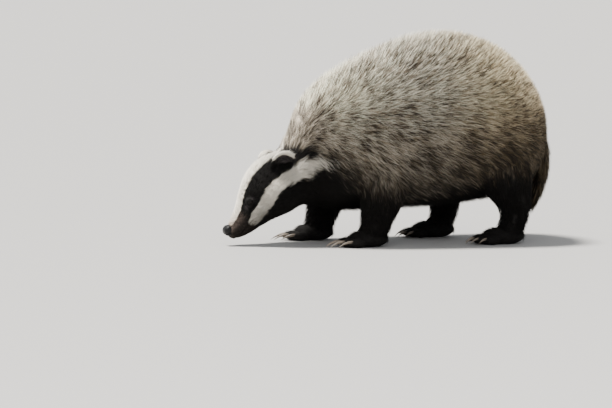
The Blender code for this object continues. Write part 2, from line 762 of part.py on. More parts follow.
def main():
    for obj in list(bpy.data.objects):
        bpy.data.objects.remove(obj)
    materials = {name: finish_material(name, *values) for name, values in MATERIALS.items()}
    dress(head("head"), materials["face_fur"])
    dress(nose("nose"), materials["nose_leather"])
    for label, side in (("left", -1), ("right", 1)):
        dress(ear(f"ear_{label}", side), materials["black_fur"])
        dress(eye(f"eye_{label}", side), materials["eye_gloss"])
    for part in neck_torso_and_legs():
        dress(part, materials["grey_coat" if part.name in ("neck", "torso") else "black_fur"])
    for leg in LEGS:
        dress(paw(leg.replace("leg", "paw"), leg), materials["black_fur"])
    dress(tail("tail"), materials["grey_coat"])


main()
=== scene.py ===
"""Looks of the European badger: one skin, its coat in fine tufts, eyes, nose and claws.

Shapes are worked out in millimetres, with -X the way the badger faces, -Y its left side and +Z up,
and become metres when their meshes are made. A place on the body is a station, counted in rows of
its outline from the lips to the rump, and a turn round it in radians.
"""

import math
from collections import namedtuple

import bmesh
import bpy
import numpy as np
from mathutils import Matrix, Vector


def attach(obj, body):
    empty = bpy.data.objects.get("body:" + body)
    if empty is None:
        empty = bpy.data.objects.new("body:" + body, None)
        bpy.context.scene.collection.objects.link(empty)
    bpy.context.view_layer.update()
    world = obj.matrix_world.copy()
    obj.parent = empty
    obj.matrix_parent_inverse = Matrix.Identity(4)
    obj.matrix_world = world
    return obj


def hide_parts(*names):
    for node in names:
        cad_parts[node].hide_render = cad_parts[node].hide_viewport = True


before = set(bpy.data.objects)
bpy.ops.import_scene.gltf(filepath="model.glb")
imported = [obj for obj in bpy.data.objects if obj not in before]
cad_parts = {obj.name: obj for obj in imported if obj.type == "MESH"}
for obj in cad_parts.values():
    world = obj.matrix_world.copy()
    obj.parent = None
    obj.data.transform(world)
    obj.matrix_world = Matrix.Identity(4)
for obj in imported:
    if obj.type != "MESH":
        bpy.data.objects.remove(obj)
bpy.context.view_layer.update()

MM = 0.001
FULL_TURN = 2 * math.pi
SIDES = {"left": -1, "right": 1}

# Outline of the body
NOSE_TIP = np.array((-254.0, 25.5))
HEAD_PITCH = math.radians(51.5)
RUMP_REACH = 237.0
HEAD_AXIS = np.array((math.cos(HEAD_PITCH), 0.0, math.sin(HEAD_PITCH)))
HEAD_UP = np.array((-math.sin(HEAD_PITCH), 0.0, math.cos(HEAD_PITCH)))


def on_head(along, above):
    """Side-view place x, z on the head, along its axis from the nose tip and above the axis."""
    p = np.array((NOSE_TIP[0], 0.0, NOSE_TIP[1])) + along * HEAD_AXIS + above * HEAD_UP
    return p[0], p[2]


def head_row(along, top, bottom, half_width, narrowing, depth):
    """Outline station square to the head's axis."""
    return (*on_head(along, top), *on_head(along, bottom), half_width, narrowing, depth)


# Dorsal x, z, ventral x, z, half width, narrowing towards the back, and the depth of the skin
# below the outline
STATIONS = np.array([
    head_row(1, -9, -25, 9.5, 0.0, 0.8),
    head_row(7, -4, -30, 14.5, 0.05, 0.8),
    head_row(20, 0, -37, 19.0, 0.12, 1.0),
    head_row(38, 5.5, -43.5, 24.0, 0.17, 1.4),
    head_row(58, 14.5, -52, 31.0, 0.22, 1.8),
    head_row(80, 22, -64, 45.0, 0.24, 3.0),
    (*on_head(103, 23), -143.3, 55.0, 52.5, 0.2, 4.0),
    (*on_head(125, 17), -134.0, 58.5, 54.0, 0.13, 5.0),
    (-167.0, 142.5, -126.0, 59.0, 56.0, 0.08, 6.5),
    (-149.0, 175.0, -114.0, 57.0, 64.0, 0.06, 8.0),
    (-136.0, 209.0, -100.0, 54.0, 76.0, 0.05, 9.0),
    (-112.0, 237.0, -82.0, 51.0, 92.0, 0.06, 9.0),
    (-77.0, 262.0, -50.0, 50.0, 104.0, 0.08, 9.0),
    (-30.0, 286.0, -10.0, 51.0, 110.0, 0.1, 9.0),
    (25.0, 307.0, 30.0, 52.0, 114.0, 0.1, 9.0),
    (75.0, 315.0, 75.0, 54.5, 118.0, 0.1, 9.0),
    (125.0, 309.5, 120.0, 59.0, 120.0, 0.08, 9.0),
    (171.0, 290.0, 158.0, 64.0, 117.0, 0.04, 9.0),
    (208.0, 256.0, 189.0, 69.0, 105.0, 0.0, 9.0),
    (230.0, 216.0, 208.0, 80.0, 84.0, 0.0, 9.0),
    (RUMP_REACH, 180.0, 224.0, 104.0, 54.0, 0.0, 9.0),
    (RUMP_REACH + 2, 160.0, 232.0, 126.0, 24.0, 0.0, 8.0),
])
NAPE, LAST = 8, len(STATIONS) - 1

# Levels of a leg from its top to its paw: x, distance from the middle plane, z, and half sizes
# along and across the body
FORELEG = np.array([
    (-52, 52, 150, 44, 34),
    (-34, 62, 105, 42, 34),
    (-26, 66, 74, 35, 29),
    (-32, 66, 48, 28, 24),
    (-38, 66, 28, 24, 22),
    (-44, 66, 14, 25, 22),
], float)
HINDLEG = np.array([
    (-12, 54, 160, 58, 42),
    (-16, 62, 112, 52, 40),
    (-4, 68, 76, 36, 31),
    (6, 70, 50, 24, 24),
    (2, 70, 28, 22, 21),
    (-8, 70, 14, 26, 22),
], float)
# A leg's levels, side and shift along the body, how far back its top leans where its paw is set
# ahead of its shoulder or hip, and the lengths of its paw and claws
Leg = namedtuple("Leg", "levels side shift lean paw claws")
LEGS = {
    "foreleg_left": Leg(FORELEG, -1, 0.0, 0.0, 62.0, 23.0),
    "foreleg_right": Leg(FORELEG, 1, -48.0, 40.0, 62.0, 23.0),
    "hindleg_left": Leg(HINDLEG, -1, 172.0, 0.0, 68.0, 14.0),
    "hindleg_right": Leg(HINDLEG, 1, 106.0, 20.0, 68.0, 14.0),
}
LAST_LEVEL = 5
LEG_COAT = 3.5
PAW_TURN = math.radians(4.0)
# Each toe's place across its paw, how far back it is set, and its half length
TOES = ((-19.0, 9.0, 12.0), (-10.5, 2.0, 14.0), (-1.0, 0.0, 15.0), (9.0, 2.5, 14.0), (18.0, 10.0, 12.0))
# Path x, z of the tail and its half thickness and half width
TAIL = np.array([
    (214, 178, 12, 16),
    (231, 168, 12, 19),
    (241, 146, 12, 23),
    (243, 118, 11, 25),
    (239, 88, 10, 24),
    (231, 62, 8, 17),
    (224, 42, 3, 6),
], float)
TAIL_COAT = 6.0

# Turn round the head, in degrees up from its side, of each marking's edge at stations along it
WHITE_EDGE = (
    (0, 1.3, 1.6, 2.2, 2.6, 2.95, 3.65, 4.2, 4.8, 5.5, 6.5, 7.2, 7.7, 8.1),
    (58, 54, 49, 45, 45, 49, 54, 57, 59, 61, 63, 68, 75, 81),
)
BAND_TOP = ((0, 7.6, 8.0, 8.3, 8.6, 8.9, 9.2, 9.6, 10.0, 10.5), (90, 90, 84, 68, 50, 36, 27, 16, 8, -2))
BAND_FOOT = (
    (0, 1.9, 2.4, 2.7, 3.0, 3.3, 3.7, 4.0, 4.3, 4.6, 5.0, 5.7, 6.5, 7.05, 7.7, 8.45, 9.05, 9.6, 10.3),
    (4, 0, -8, -1, 4, 8, 8, 10, 14, 17, 20, 21, 20, 24, 30, 29, 17, 8, -3),
)
CHEEK_FOOT = (
    (1.5, 2.7, 3.2, 4.1, 4.7, 5.3, 6.6, 7.8, 8.1, 8.4, 8.75, 9.05, 9.4, 9.9, 10.4, 10.9),
    (-30, -38, -37, -23, -12, -5, -3, -1, -2, -6, -7, -6, -7, -10, -15, -20),
)
# Stations between which a marking sets in or ends
CENTRE_END, CHEEK_START, CHEEK_END = (7.8, 8.6), (2.3, 2.9), (9.9, 10.9)
BAND_END, THROAT_END, UNDERSIDE_START = (9.4, 10.4), (10.0, 10.9), (8.8, 10.4)
PINK_END, BROWN_END = (1.0, 2.5), (2.1, 3.1)
# Height up to which the coat is black, along the body
DARK_LINE = (
    (-125, -102, -87, -63, -34, 0, 60, 100, 140, 165, 200, 230),
    (128, 120, 106, 88, 76, 73, 79, 90, 103, 109, 108, 110),
)


# Surfaces
def smooth(low, high, value):
    """Eased step from 0 to 1 as the value goes from low to high."""
    f = np.clip((value - low) / (high - low), 0, 1)
    return f * f * (3 - 2 * f)


def unit(vectors):
    """Vectors made one long."""
    return vectors / np.maximum(np.linalg.norm(vectors, axis=-1, keepdims=True), 1e-9)


def between(rows, t):
    """Rows read at places t, counted in stations, on a Catmull-Rom curve through them."""
    low = np.clip(np.floor(t).astype(int), 0, len(rows) - 2)
    f = (t - low)[:, None]
    before, start = rows[np.maximum(low - 1, 0)], rows[low]
    end, after = rows[low + 1], rows[np.minimum(low + 2, len(rows) - 1)]
    return 0.5 * (
        2 * start
        + (end - before) * f
        + (2 * before - 5 * start + 4 * end - after) * f**2
        + (3 * start - before - 3 * end + after) * f**3
    )


def body_at(t, turn, inset):
    """Body surface: at station t an ellipse from the dorsal to the ventral line, as wide as the
    station says and narrower above, all of it inset from the outline. Turn runs up from the left."""
    rows = between(STATIONS, np.clip(t, 0, LAST))
    centre, up = (rows[:, 0:2] + rows[:, 2:4]) / 2, (rows[:, 0:2] - rows[:, 2:4]) / 2
    reach = np.linalg.norm(up, axis=1)
    high = np.sin(turn) * np.maximum(reach - inset, 1.0) / reach
    wide = np.maximum(rows[:, 4] - inset, 1.0) * np.cos(turn) * (1 - rows[:, 5] * np.sin(turn))
    return np.stack([centre[:, 0] + up[:, 0] * high, -wide, centre[:, 1] + up[:, 1] * high], 1)


def skin_depth(t):
    """Depth of the skin below the coat's outline at stations t."""
    return between(STATIONS, t)[:, 6]


def leg_at(name):
    """Surface of one leg: at level t a level ellipse, inset from its outline."""
    leg = LEGS[name]

    def at(t, turn, inset):
        rows = between(leg.levels, np.clip(t, 0, LAST_LEVEL))
        lean = leg.lean * (1 - smooth(0.0, 2.4, t))
        x = leg.shift + lean + rows[:, 0] + (rows[:, 3] - inset) * np.cos(turn)
        y = leg.side * (rows[:, 1] - 0.3 * lean + (rows[:, 4] - inset) * np.sin(leg.side * turn))
        return np.stack([x, y, rows[:, 2]], 1)

    return at


def tail_at(t, turn, inset):
    """Surface of the tail: an ellipse square to its path in the middle plane, inset."""
    t = np.clip(t, 0, len(TAIL) - 1)
    rows = between(TAIL, t)
    ahead = unit((between(TAIL, t + 0.01) - between(TAIL, t - 0.01))[:, :2])
    thick = np.maximum(rows[:, 2] - inset, 0.8) * np.cos(turn)
    wide = np.maximum(rows[:, 3] - inset, 0.8) * np.sin(turn)
    return np.stack([rows[:, 0] - ahead[:, 1] * thick, wide, rows[:, 1] + ahead[:, 0] * thick], 1)


def surface_frame(at, t, turn, inset):
    """Places, outward normals and the steps by station and by turn, by small differences."""
    small = 0.01
    here = at(t, turn, inset)
    by_t = (at(t + small, turn, inset) - at(t - small, turn, inset)) / (2 * small)
    by_turn = (at(t, turn + small, inset) - at(t, turn - small, inset)) / (2 * small)
    return here, unit(np.cross(by_t, by_turn)), by_t, by_turn


def blob(places, centre, radius):
    """Soft round weight that falls off from a centre, mirrored on both sides of the head."""
    away = np.stack([places[:, 0], np.abs(places[:, 1]), places[:, 2]], 1) - np.asarray(centre)
    return np.exp(-((away**2).sum(1)) / radius**2)


def waves(places, scale, seed):
    """Smooth random field from -1 to 1: a sum of sines in random directions."""
    draw = np.random.default_rng(seed)
    ways = draw.normal(0, 1, (3, 7)) / scale
    return np.sin(places @ ways + draw.uniform(0, 6.3, 7)).mean(1) * 1.9


# Eyes
EYE_RADIUS = 5.6
EYE_ALONG, EYE_ABOVE, EYE_SPREAD = 55.0, -3.5, 23.2
# Where the rings of the skin are set closer together for the lids
EYE_STATION, EYE_TURNS = 3.88, (0.5, math.pi - 0.5)
# Middle of the slit between the lids, seen from the ball's, its half length, and its half heights
# above and below
SLIT_MIDDLE = (0.7, -0.3)
SLIT_LONG, SLIT_HIGH, SLIT_LOW = 4.7, 1.7, 2.1
# Places of the painted sheen: a greyish highlight on the brow above each eye and on the bulge before it
BROW, BULGE = (-214.5, 25.0, 70.5), (-221.5, 20.0, 59.0)


def eye_frame(side):
    """Middle of an eyeball, and its outward, lengthwise and upward directions."""
    x, z = on_head(EYE_ALONG, EYE_ABOVE)
    out = unit(np.array((-0.47, side * 0.88, -0.04)))
    along = np.array((0.93, 0, 0.36))
    along = unit(along - out * (along @ out))
    up = np.cross(out, along)
    up *= np.sign(up[2])
    return np.array((x, side * EYE_SPREAD, z)), out, along, up


def seen_from_eye(places, side):
    """Places seen from the middle of an eyeball: outwards, lengthwise and upwards."""
    middle, out, along, up = eye_frame(side)
    away = places - middle
    return away @ out, away @ along, away @ up


def raise_lids(places, side):
    """Lids: round the eye the skin is lifted just over the ball, and inside the slit between them
    it is pushed back behind the ball, so that the eye shows through an almond slit."""
    out = eye_frame(side)[1]
    height, p, q = seen_from_eye(places, side)
    near = (np.abs(p) < 14) & (np.abs(q) < 12) & (height > -6)
    beside = np.hypot(p, q)
    ball = np.sqrt(np.maximum((EYE_RADIUS + 0.75) ** 2 - beside**2, 0))
    p, q = p - SLIT_MIDDLE[0], q - SLIT_MIDDLE[1]
    tall = np.where(q > 0, SLIT_HIGH, SLIT_LOW)
    slit = np.sqrt((p / SLIT_LONG) ** 2 + ((q + 0.25 - 0.02 * p**2) / tall) ** 2)
    rim = 0.35 * np.exp(-(((slit - 1.3) / 0.25) ** 2))
    fold = 0.9 * np.exp(-(((q - 4.6 + 0.04 * p**2) / 1.6) ** 2) - (p / 7.0) ** 2)
    lid = np.maximum(ball, height - 0.4) + rim + fold
    blend = 1 - smooth(EYE_RADIUS + 0.6, EYE_RADIUS + 3.4, beside)
    target = height * (1 - blend) + lid * blend
    inside = 1 - smooth(0.82, 1.12, slit)
    target = target * (1 - inside) + np.minimum(target, 1.5) * inside
    return places + np.where(near, target - height, 0)[:, None] * out


# Colours
WHITE_FUR = np.array((0.88, 0.83, 0.73))
PINK_FUR = np.array((0.48, 0.38, 0.31))
MUZZLE_FUR = np.array((0.062, 0.047, 0.039))
# Grey of the fur in the ears' cups, and of the painted sheen on the black fur of the brow and the bulge
# before each eye
GREY_AND_SHEEN_FUR = np.array((0.055, 0.047, 0.048))
BLACK_FUR = np.array((0.0065, 0.0057, 0.0052))
SILVER = np.array((0.79, 0.705, 0.575))
TAN = np.array((0.36, 0.285, 0.19))
CREAM = np.array((0.86, 0.74, 0.555))
DARK_BAND = np.array((0.042, 0.033, 0.026))
UNDERCOAT = np.array((0.30, 0.245, 0.18))
# Lowest values of the coat's and the skin's colours, so that none is quite black
DARKEST, DARKEST_SKIN = 0.003, 0.004


def body_marks(t, turn, places, stray=0.0):
    """How white, how black and how brown the coat is at places on head and body, 0 to 1. The stray
    moves the edge of the black underside up or down, in millimetres."""
    wobble = 1.6 * waves(places, 6.0, 3) + 1.2 * waves(places, 2.5, 4)
    up = np.degrees(np.arcsin(np.sin(turn))) + wobble
    soft = 2.2 + 4.0 * smooth(6.5, 9.5, t)

    def over(edge, shift, width=1.0):
        return smooth(-soft * width, soft * width, up - np.interp(t, *edge) - shift * soft)

    above = over(WHITE_EDGE, 0.4)
    centre = above * (1 - smooth(*CENTRE_END, t))
    cheek_foot, band_foot = over(CHEEK_FOOT, 0.4), over(BAND_FOOT, -0.5)
    cheek = cheek_foot * (1 - band_foot) * (1 - smooth(*CHEEK_END, t + 0.08 * wobble))
    cheek *= smooth(*CHEEK_START, t)
    white = np.clip(centre + cheek, 0, 1)
    band = band_foot * (1 - over(BAND_TOP, 0, 2.0)) * (1 - centre) * (1 - smooth(*BAND_END, t))
    throat = (1 - cheek_foot) * (1 - smooth(*THROAT_END, t))
    line = np.interp(places[:, 0], *DARK_LINE) + 5 * waves(places, 14.0, 5)
    under = (1 - smooth(-12.0, 12.0, places[:, 2] + stray - line)) * smooth(*UNDERSIDE_START, t)
    black = np.maximum(np.maximum(band, throat), under) * (1 - white)
    brown = (1 - above) * (1 - smooth(*BROWN_END, t + 0.1 * wobble))
    return white * (1 - brown), black * (1 - brown), brown


def painted_sheen(places):
    """Share of painted sheen, 0 to 1: a greyish highlight painted on the black fur of the brow and of the
    bulge before each eye.
    """
    return np.clip(0.8 * blob(places, BROW, 3.6) + blob(places, BULGE, 4.2), 0, 1)


def face_furs(t, turn, places):
    """Colours of the pale and the brown fur, and the share of painted sheen on the black: white turns pink
    towards the nose, the cheek's stripe is darkened forwards and downwards by painted shade, and the
    muzzle's brown is darkest at the chin."""
    up = np.degrees(np.arcsin(np.sin(turn)))
    # Painted shade: the cheek's white is darkened towards its front and its lower edge, where the fur
    # turns under away from the light
    foot = smooth(2.0, 34.0, up - np.interp(t, *CHEEK_FOOT))
    front = (1 - smooth(3.4, 5.2, t)) * (1 - smooth(14.0, 30.0, up))
    shade = 1 - (0.2 + 0.45 * (1 - foot)) * front
    dusk = 0.3 + 1.0 * smooth(4.0, 34.0, up)
    tip = (1 - smooth(*PINK_END, t))[:, None]
    pale = (WHITE_FUR * (1 - tip) + PINK_FUR * tip) * shade[:, None]
    return pale, MUZZLE_FUR * dusk[:, None], painted_sheen(places)[:, None]


def skin_colour(t, turn, places):
    """Colour of the skin and of the shortest fur on it, from the same markings as the coat."""
    white, black, brown = [share[:, None] for share in body_marks(t, turn, places)]
    grey = np.clip(1 - white - black - brown, 0, 1)
    pale, fawn, sheen = face_furs(t, turn, places)
    # Black, greyed by the painted sheen on the brow and the bulge before each eye
    jet = BLACK_FUR * (1 - 0.3 * sheen) + GREY_AND_SHEEN_FUR * 0.3 * sheen
    base = UNDERCOAT * 0.3 + DARK_BAND * 0.35
    return white * pale * 0.85 + black * jet + brown * fawn * 0.8 + grey * base


# Meshes
def add_object(name, data):
    """Object of a mesh, light or camera, put into the scene."""
    obj = bpy.data.objects.new(name, data)
    bpy.context.scene.collection.objects.link(obj)
    return obj


def paint(mesh, colours):
    """Gives each point of a mesh its colour, which the fur's and the skin's materials read."""
    tint = mesh.color_attributes.new("tint", "FLOAT_COLOR", "POINT")
    full = np.ones((len(colours), 4), np.float32)
    full[:, :3] = colours
    tint.data.foreach_set("color", full.ravel())


def lay_out(mesh, spots):
    """Gives each corner of a mesh its place on the unwrap."""
    layer = mesh.uv_layers.new(name="OFBake")
    layer.data.foreach_set("uv", np.asarray(spots, np.float32).ravel())


def closed_tube(name, rings, start, end):
    """Tube through rings of points, closed at both ends by fans to a start and an end point."""
    rows, columns = rings.shape[:2]
    verts = np.concatenate([rings.reshape(-1, 3), [start, end]])
    i = np.arange(rows - 1)[:, None] * columns
    j = np.arange(columns)
    k = (j + 1) % columns
    quads = np.stack([i + j, i + columns + j, i + columns + k, i + k], -1).reshape(-1, 4)
    last = (rows - 1) * columns
    pole = np.full(columns, rows * columns)
    fans = np.concatenate([np.stack([pole, j, k], 1), np.stack([pole + 1, last + k, last + j], 1)])
    mesh = bpy.data.meshes.new(name)
    mesh.from_pydata((verts * MM).tolist(), [], quads.tolist() + fans.tolist())
    bm = bmesh.new()
    bm.from_mesh(mesh)
    bmesh.ops.recalc_face_normals(bm, faces=bm.faces)
    bm.to_mesh(mesh)
    bm.free()
    mesh.shade_smooth()
    return add_object(name, mesh)


def sphere(rows, columns):
    """Rings of a unit sphere between its poles on X, and their angles from the pole ahead."""
    b = np.linspace(0, math.pi, rows + 1)[1:-1, None]
    a = np.linspace(0, FULL_TURN, columns, endpoint=False)[None]
    return np.stack([np.cos(b) + 0 * a, np.sin(b) * np.cos(a), np.sin(b) * np.sin(a)], -1), b


def ellipsoid(centre, half, turn_z):
    """Ellipsoid with its own half sizes, turned about the upright."""
    c, s = math.cos(turn_z), math.sin(turn_z)
    spin = np.array(((c, -s, 0), (s, c, 0), (0, 0, 1)))
    tip = spin @ np.array((half[0], 0, 0))
    return closed_tube("ball", sphere(16, 24)[0] * half @ spin.T + centre, centre + tip, centre - tip)


def freeze(obj):
    """Applies an object's modifiers to its mesh."""
    bpy.context.view_layer.update()
    graph = bpy.context.evaluated_depsgraph_get()
    mesh = bpy.data.meshes.new_from_object(obj.evaluated_get(graph))
    obj.modifiers.clear()
    old, obj.data = obj.data, mesh
    bpy.data.meshes.remove(old)


def join_solids(name, pieces):
    """Boolean union of closed pieces into the first."""
    first = pieces[0]
    group = bpy.data.collections.new("joined")
    bpy.context.scene.collection.children.link(group)
    for piece in pieces[1:]:
        bpy.context.scene.collection.objects.unlink(piece)
        group.objects.link(piece)
    modifier = first.modifiers.new("join", "BOOLEAN")
    modifier.operation, modifier.operand_type = "UNION", "COLLECTION"
    modifier.collection, modifier.solver = group, "MANIFOLD"
    freeze(first)
    for piece in pieces[1:]:
        bpy.data.objects.remove(piece)
    bpy.data.collections.remove(group)
    first.name = first.data.name = name
    first.data.shade_smooth()
    return first


def even_out(obj, size, rounds):
    """Even mesh of a solid, with creases between its pieces smoothed away."""
    step = obj.modifiers.new("even", "REMESH")
    step.mode, step.voxel_size = "VOXEL", size * MM
    calm = obj.modifiers.new("calm", "SMOOTH")
    calm.factor, calm.iterations = 0.5, rounds
    freeze(obj)


def read_points(mesh, what):
    """Positions or normals of a mesh's points, as they stand in it."""
    flat = np.empty(len(mesh.vertices) * 3, np.float32)
    mesh.vertices.foreach_get(what, flat)
    return flat.reshape(-1, 3).astype(float)


# Head. The nose's place along and above the head's axis, and its half length, width and height
NOSE_PLACE = (4.7, -8.4)
NOSE_HALF = (8.2, 12.2, 7.6)
# Swellings and a hollow of the head: along its axis, above it, beside the middle plane, radius and
# height. They are the brow, the hollow before the eye, the cheek, the whisker pad, the jaw and a
# small bulge below the hollow.
SWELLINGS = (
    (60, 8, 24, 9, 1.5),
    (44, 2, 20, 8, -1.2),
    (84, -22, 42, 17, 1.6),
    (17, -19, 17, 10, 1.4),
    (62, -22, 27, 8, 0.9),
    (46, -9, 22, 3.2, 0.8),
)


def mouth_line(side):
    """Line of the mouth on one side, on the head's outline, from its front to its corner."""
    t = np.array((0.0, 0.35, 1.0, 1.6, 2.2, 2.8, 3.2, 3.45))
    high = np.array((-0.52, -0.44, -0.36, -0.29, -0.22, -0.2, -0.23, -0.3))
    return body_at(t, np.arcsin(high), skin_depth(t)) * np.array((1, -side, 1))


def distance_to_line(places, line):
    """Distance of places to the nearest point of a line of straight pieces."""
    best = np.full(len(places), 1e9)
    for start, end in zip(line[:-1], line[1:]):
        piece = end - start
        f = np.clip((places - start) @ piece / (piece @ piece), 0, 1)
        best = np.minimum(best, np.linalg.norm(places - start - f[:, None] * piece, axis=1))
    return best


def shape_head(places, normals):
    """Soft swellings and a hollow along the normals, a furrow down the crown, and the line of the
    mouth as a groove between two lips."""
    push = np.zeros(len(places))
    for along, above, beside, radius, height in SWELLINGS:
        x, z = on_head(along, above)
        push += height * blob(places, (x, beside, z), radius)
    x, _ = on_head(100, 26)
    push -= 1.0 * np.exp(-((places[:, 1] / 7) ** 2) - ((places[:, 0] - x) / 40) ** 2)
    near = np.minimum(distance_to_line(places, mouth_line(1)), distance_to_line(places, mouth_line(-1)))
    push += 0.8 * np.exp(-(((near - 2.6) / 1.4) ** 2)) - 1.8 * np.exp(-((near / 0.9) ** 2))
    return places + push[:, None] * normals


# Ears: their roots, how far each leans outwards and turns, half sizes, and how deep the back and
# the cup lie
EAR_ROOTS = {-1: np.array((-172.0, -39.5, 122.0)), 1: np.array((-172.0, 39.5, 119.5))}
EAR_SPLAY = {-1: 0.5, 1: 0.72}
EAR_LEAN = 24.0
EAR_WIDE, EAR_TALL = 17.6, 23.4
EAR_DEEP, EAR_CUP = 8.0, 5.0


def turned(vector, axis, angle):
    """Vector turned about a unit axis by an angle in radians."""
    along = axis * (axis @ vector)
    return along + (vector - along) * math.cos(angle) + np.cross(axis, vector) * math.sin(angle)


def ear_axes(side):
    """Outward, lengthwise and upward directions of an ear."""
    along = np.array((0.95, 0, 0.31))
    up = unit(np.array((-0.31, 0, 0.95)) * 0.87 + np.array((0, side * EAR_SPLAY[side], 0)))
    out = unit(np.cross(along, up) * -side - along * 0.35)
    up = turned(up, out, math.radians(side * EAR_LEAN))
    across = unit(np.cross(up, out))
    return out, across, np.cross(out, across)


def ear_shell(side):
    """Ear: a rounded cup. Its outside is half an ellipsoid, its rim turns in, and its inside
    follows at the wall's thickness, so the cup opens outwards and forwards."""
    out, across, up = ear_axes(side)
    rows, columns = 34, 48
    f = np.linspace(0, 1, rows)[:, None]
    a = np.linspace(0, FULL_TURN, columns, endpoint=False)[None]
    outer, inner = 0.56, 0.44
    outside = f < outer
    lean = np.where(outside, f / outer, (1 - f) / inner) * 0.5 * math.pi
    radial = np.sin(lean)
    wall = np.where(outside, 0.0, 3.0) * (1 - 0.55 * radial**4)
    depth = np.where(outside, -EAR_DEEP, -EAR_CUP) * np.cos(lean) + 1.8 * radial**6
    fold = 2.0 * np.exp(-(((a - 5.2) / 0.5) ** 2)) * (1 - outside) * radial
    wide = (EAR_WIDE - wall - fold) * radial * np.cos(a)
    tall = (EAR_TALL - wall - fold) * radial * np.sin(a)
    root = EAR_ROOTS[side]
    places = root + depth[..., None] * out + wide[..., None] * across + tall[..., None] * up
    return closed_tube("ear", places[1:-1], root - EAR_DEEP * out, root - EAR_CUP * out)


def near_ear(places, side):
    """Share of the way from an ear's middle to its rim, height above the ear's own plane, whether
    a place is on that ear, and how white the rim would be there: white along its top from the
    front, black towards its back and foot."""
    out, across, up = ear_axes(side)
    away = places - EAR_ROOTS[side]
    back, high, height = (away @ across) / EAR_WIDE, (away @ up) / EAR_TALL, away @ out
    reach = np.hypot(back, high)
    on_it = (reach < 1.04) & (np.abs(height) < 9.5) & (places[:, 1] * side > 22)
    return reach, height, on_it, smooth(0.44, 0.64, high - 0.376 * back * np.sign(across[0]))


# Skin
BODY_COLUMNS = 200
LEG_ROWS, LEG_COLUMNS = 60, 48
TAIL_ROWS, TAIL_COLUMNS = 40, 32
# Height below which a paw is pressed flat
SOLE = 2.2


def crowded(start, end, count, spots, width, gain):
    """Numbers from start to end, set closer together round some spots."""
    fine = np.linspace(start, end, 4001)
    weight = 1 + gain * sum(np.exp(-(((fine - spot) / width) ** 2)) for spot in spots)
    reach = np.concatenate([[0], np.cumsum((weight[1:] + weight[:-1]) / 2)])
    return np.interp(np.linspace(0, reach[-1], count), reach, fine)


def rings_on(at, t, turn, inset):
    """Rings of points on a surface at stations t, each with one point for every turn."""
    flat = at(np.repeat(t, len(turn)), np.tile(turn, len(t)), inset)
    return flat.reshape(len(t), len(turn), 3)


def skin_body():
    """Body from the lips to the rump: rings of the body surface at the skin's depth, close
    together on the head, rounded off at the muzzle and drawn to a point under the tail."""
    head = crowded(0, NAPE, 171, (EYE_STATION,), 0.34, 4.0)
    t = np.concatenate([head, np.linspace(NAPE, LAST, 86)[1:]])
    lowest = -0.5 * math.pi
    turn = crowded(lowest, lowest + FULL_TURN, BODY_COLUMNS + 1, EYE_TURNS, 0.24, 3.0)[:-1]
    tt, aa = np.repeat(t, BODY_COLUMNS), np.tile(turn, len(t))
    places, normals = surface_frame(body_at, tt, aa, skin_depth(tt))[:2]
    on = tt < NAPE
    shaped = shape_head(places[on], normals[on])
    for side in SIDES.values():
        shaped = raise_lids(shaped, side)
    places[on] = shaped
    rings = places.reshape(len(t), BODY_COLUMNS, 3)
    front = rings[0].mean(0)
    lips = [
        front + (rings[0] - front) * math.sqrt(1 - f**2) - HEAD_AXIS * 4.0 * f
        for f in (0.88, 0.65, 0.35)
    ]
    end = np.array((RUMP_REACH - 7.0, 0.0, 142.0))
    return closed_tube("skin", np.concatenate([np.array(lips), rings]), front - HEAD_AXIS * 4.3, end)


def paw_frame(name):
    """Middle of a paw on the ground, and the angle that it is turned by."""
    leg = LEGS[name]
    x, beside = leg.levels[-1][:2]
    return np.array((leg.shift + x, leg.side * beside, 0.0)), -PAW_TURN * leg.side


def toe_place(name, toe, ahead, high):
    """Place on a toe: so far ahead of the toe's middle, and so high above the ground."""
    leg = LEGS[name]
    middle, spin = paw_frame(name)
    along, beside = -leg.paw * 0.5 - 4 + toe[1] - ahead, leg.side * toe[0]
    c, s = math.cos(spin), math.sin(spin)
    return middle + np.array((c * along - s * beside, s * along + c * beside, high))


def skin_limb(name):
    """Leg and paw: rings of the leg, a sole and five toes, fused and evened out, and flat where
    the paw stands."""
    t = np.linspace(0.2, LAST_LEVEL, LEG_ROWS)
    turn = np.linspace(0, FULL_TURN, LEG_COLUMNS, endpoint=False)
    rings = rings_on(leg_at(name), t, turn, LEG_COAT)
    middle, spin = paw_frame(name)
    pieces = [
        closed_tube("leg", rings, rings[0].mean(0), rings[-1].mean(0)),
        ellipsoid(middle + (-4, 0, 11.5), (LEGS[name].paw * 0.5 - 1, 22.5, 13.5), spin),
    ]
    pieces += [ellipsoid(toe_place(name, toe, 0, 7.0), (toe[2], 6.4, 6.9), spin) for toe in TOES]
    limb = join_solids("limb", pieces)
    even_out(limb, 1.7, 4)
    places = read_points(limb.data, "co") / MM
    low = places[:, 2] < SOLE
    places[low, 2] = np.maximum(places[low, 2], 0.25 + 0.1 * places[low, 2])
    limb.data.vertices.foreach_set("co", (places * MM).astype(np.float32).ravel())
    limb.data.update()
    return limb


def skin_tail():
    """Flesh of the tail: rings of its surface at the coat's depth, inside its long hair."""
    t = np.linspace(0, len(TAIL) - 1.3, TAIL_ROWS)
    turn = np.linspace(0, FULL_TURN, TAIL_COLUMNS, endpoint=False)
    rings = rings_on(tail_at, t, turn, TAIL_COAT)
    return closed_tube("tail", rings, rings[0].mean(0), rings[-1].mean(0))


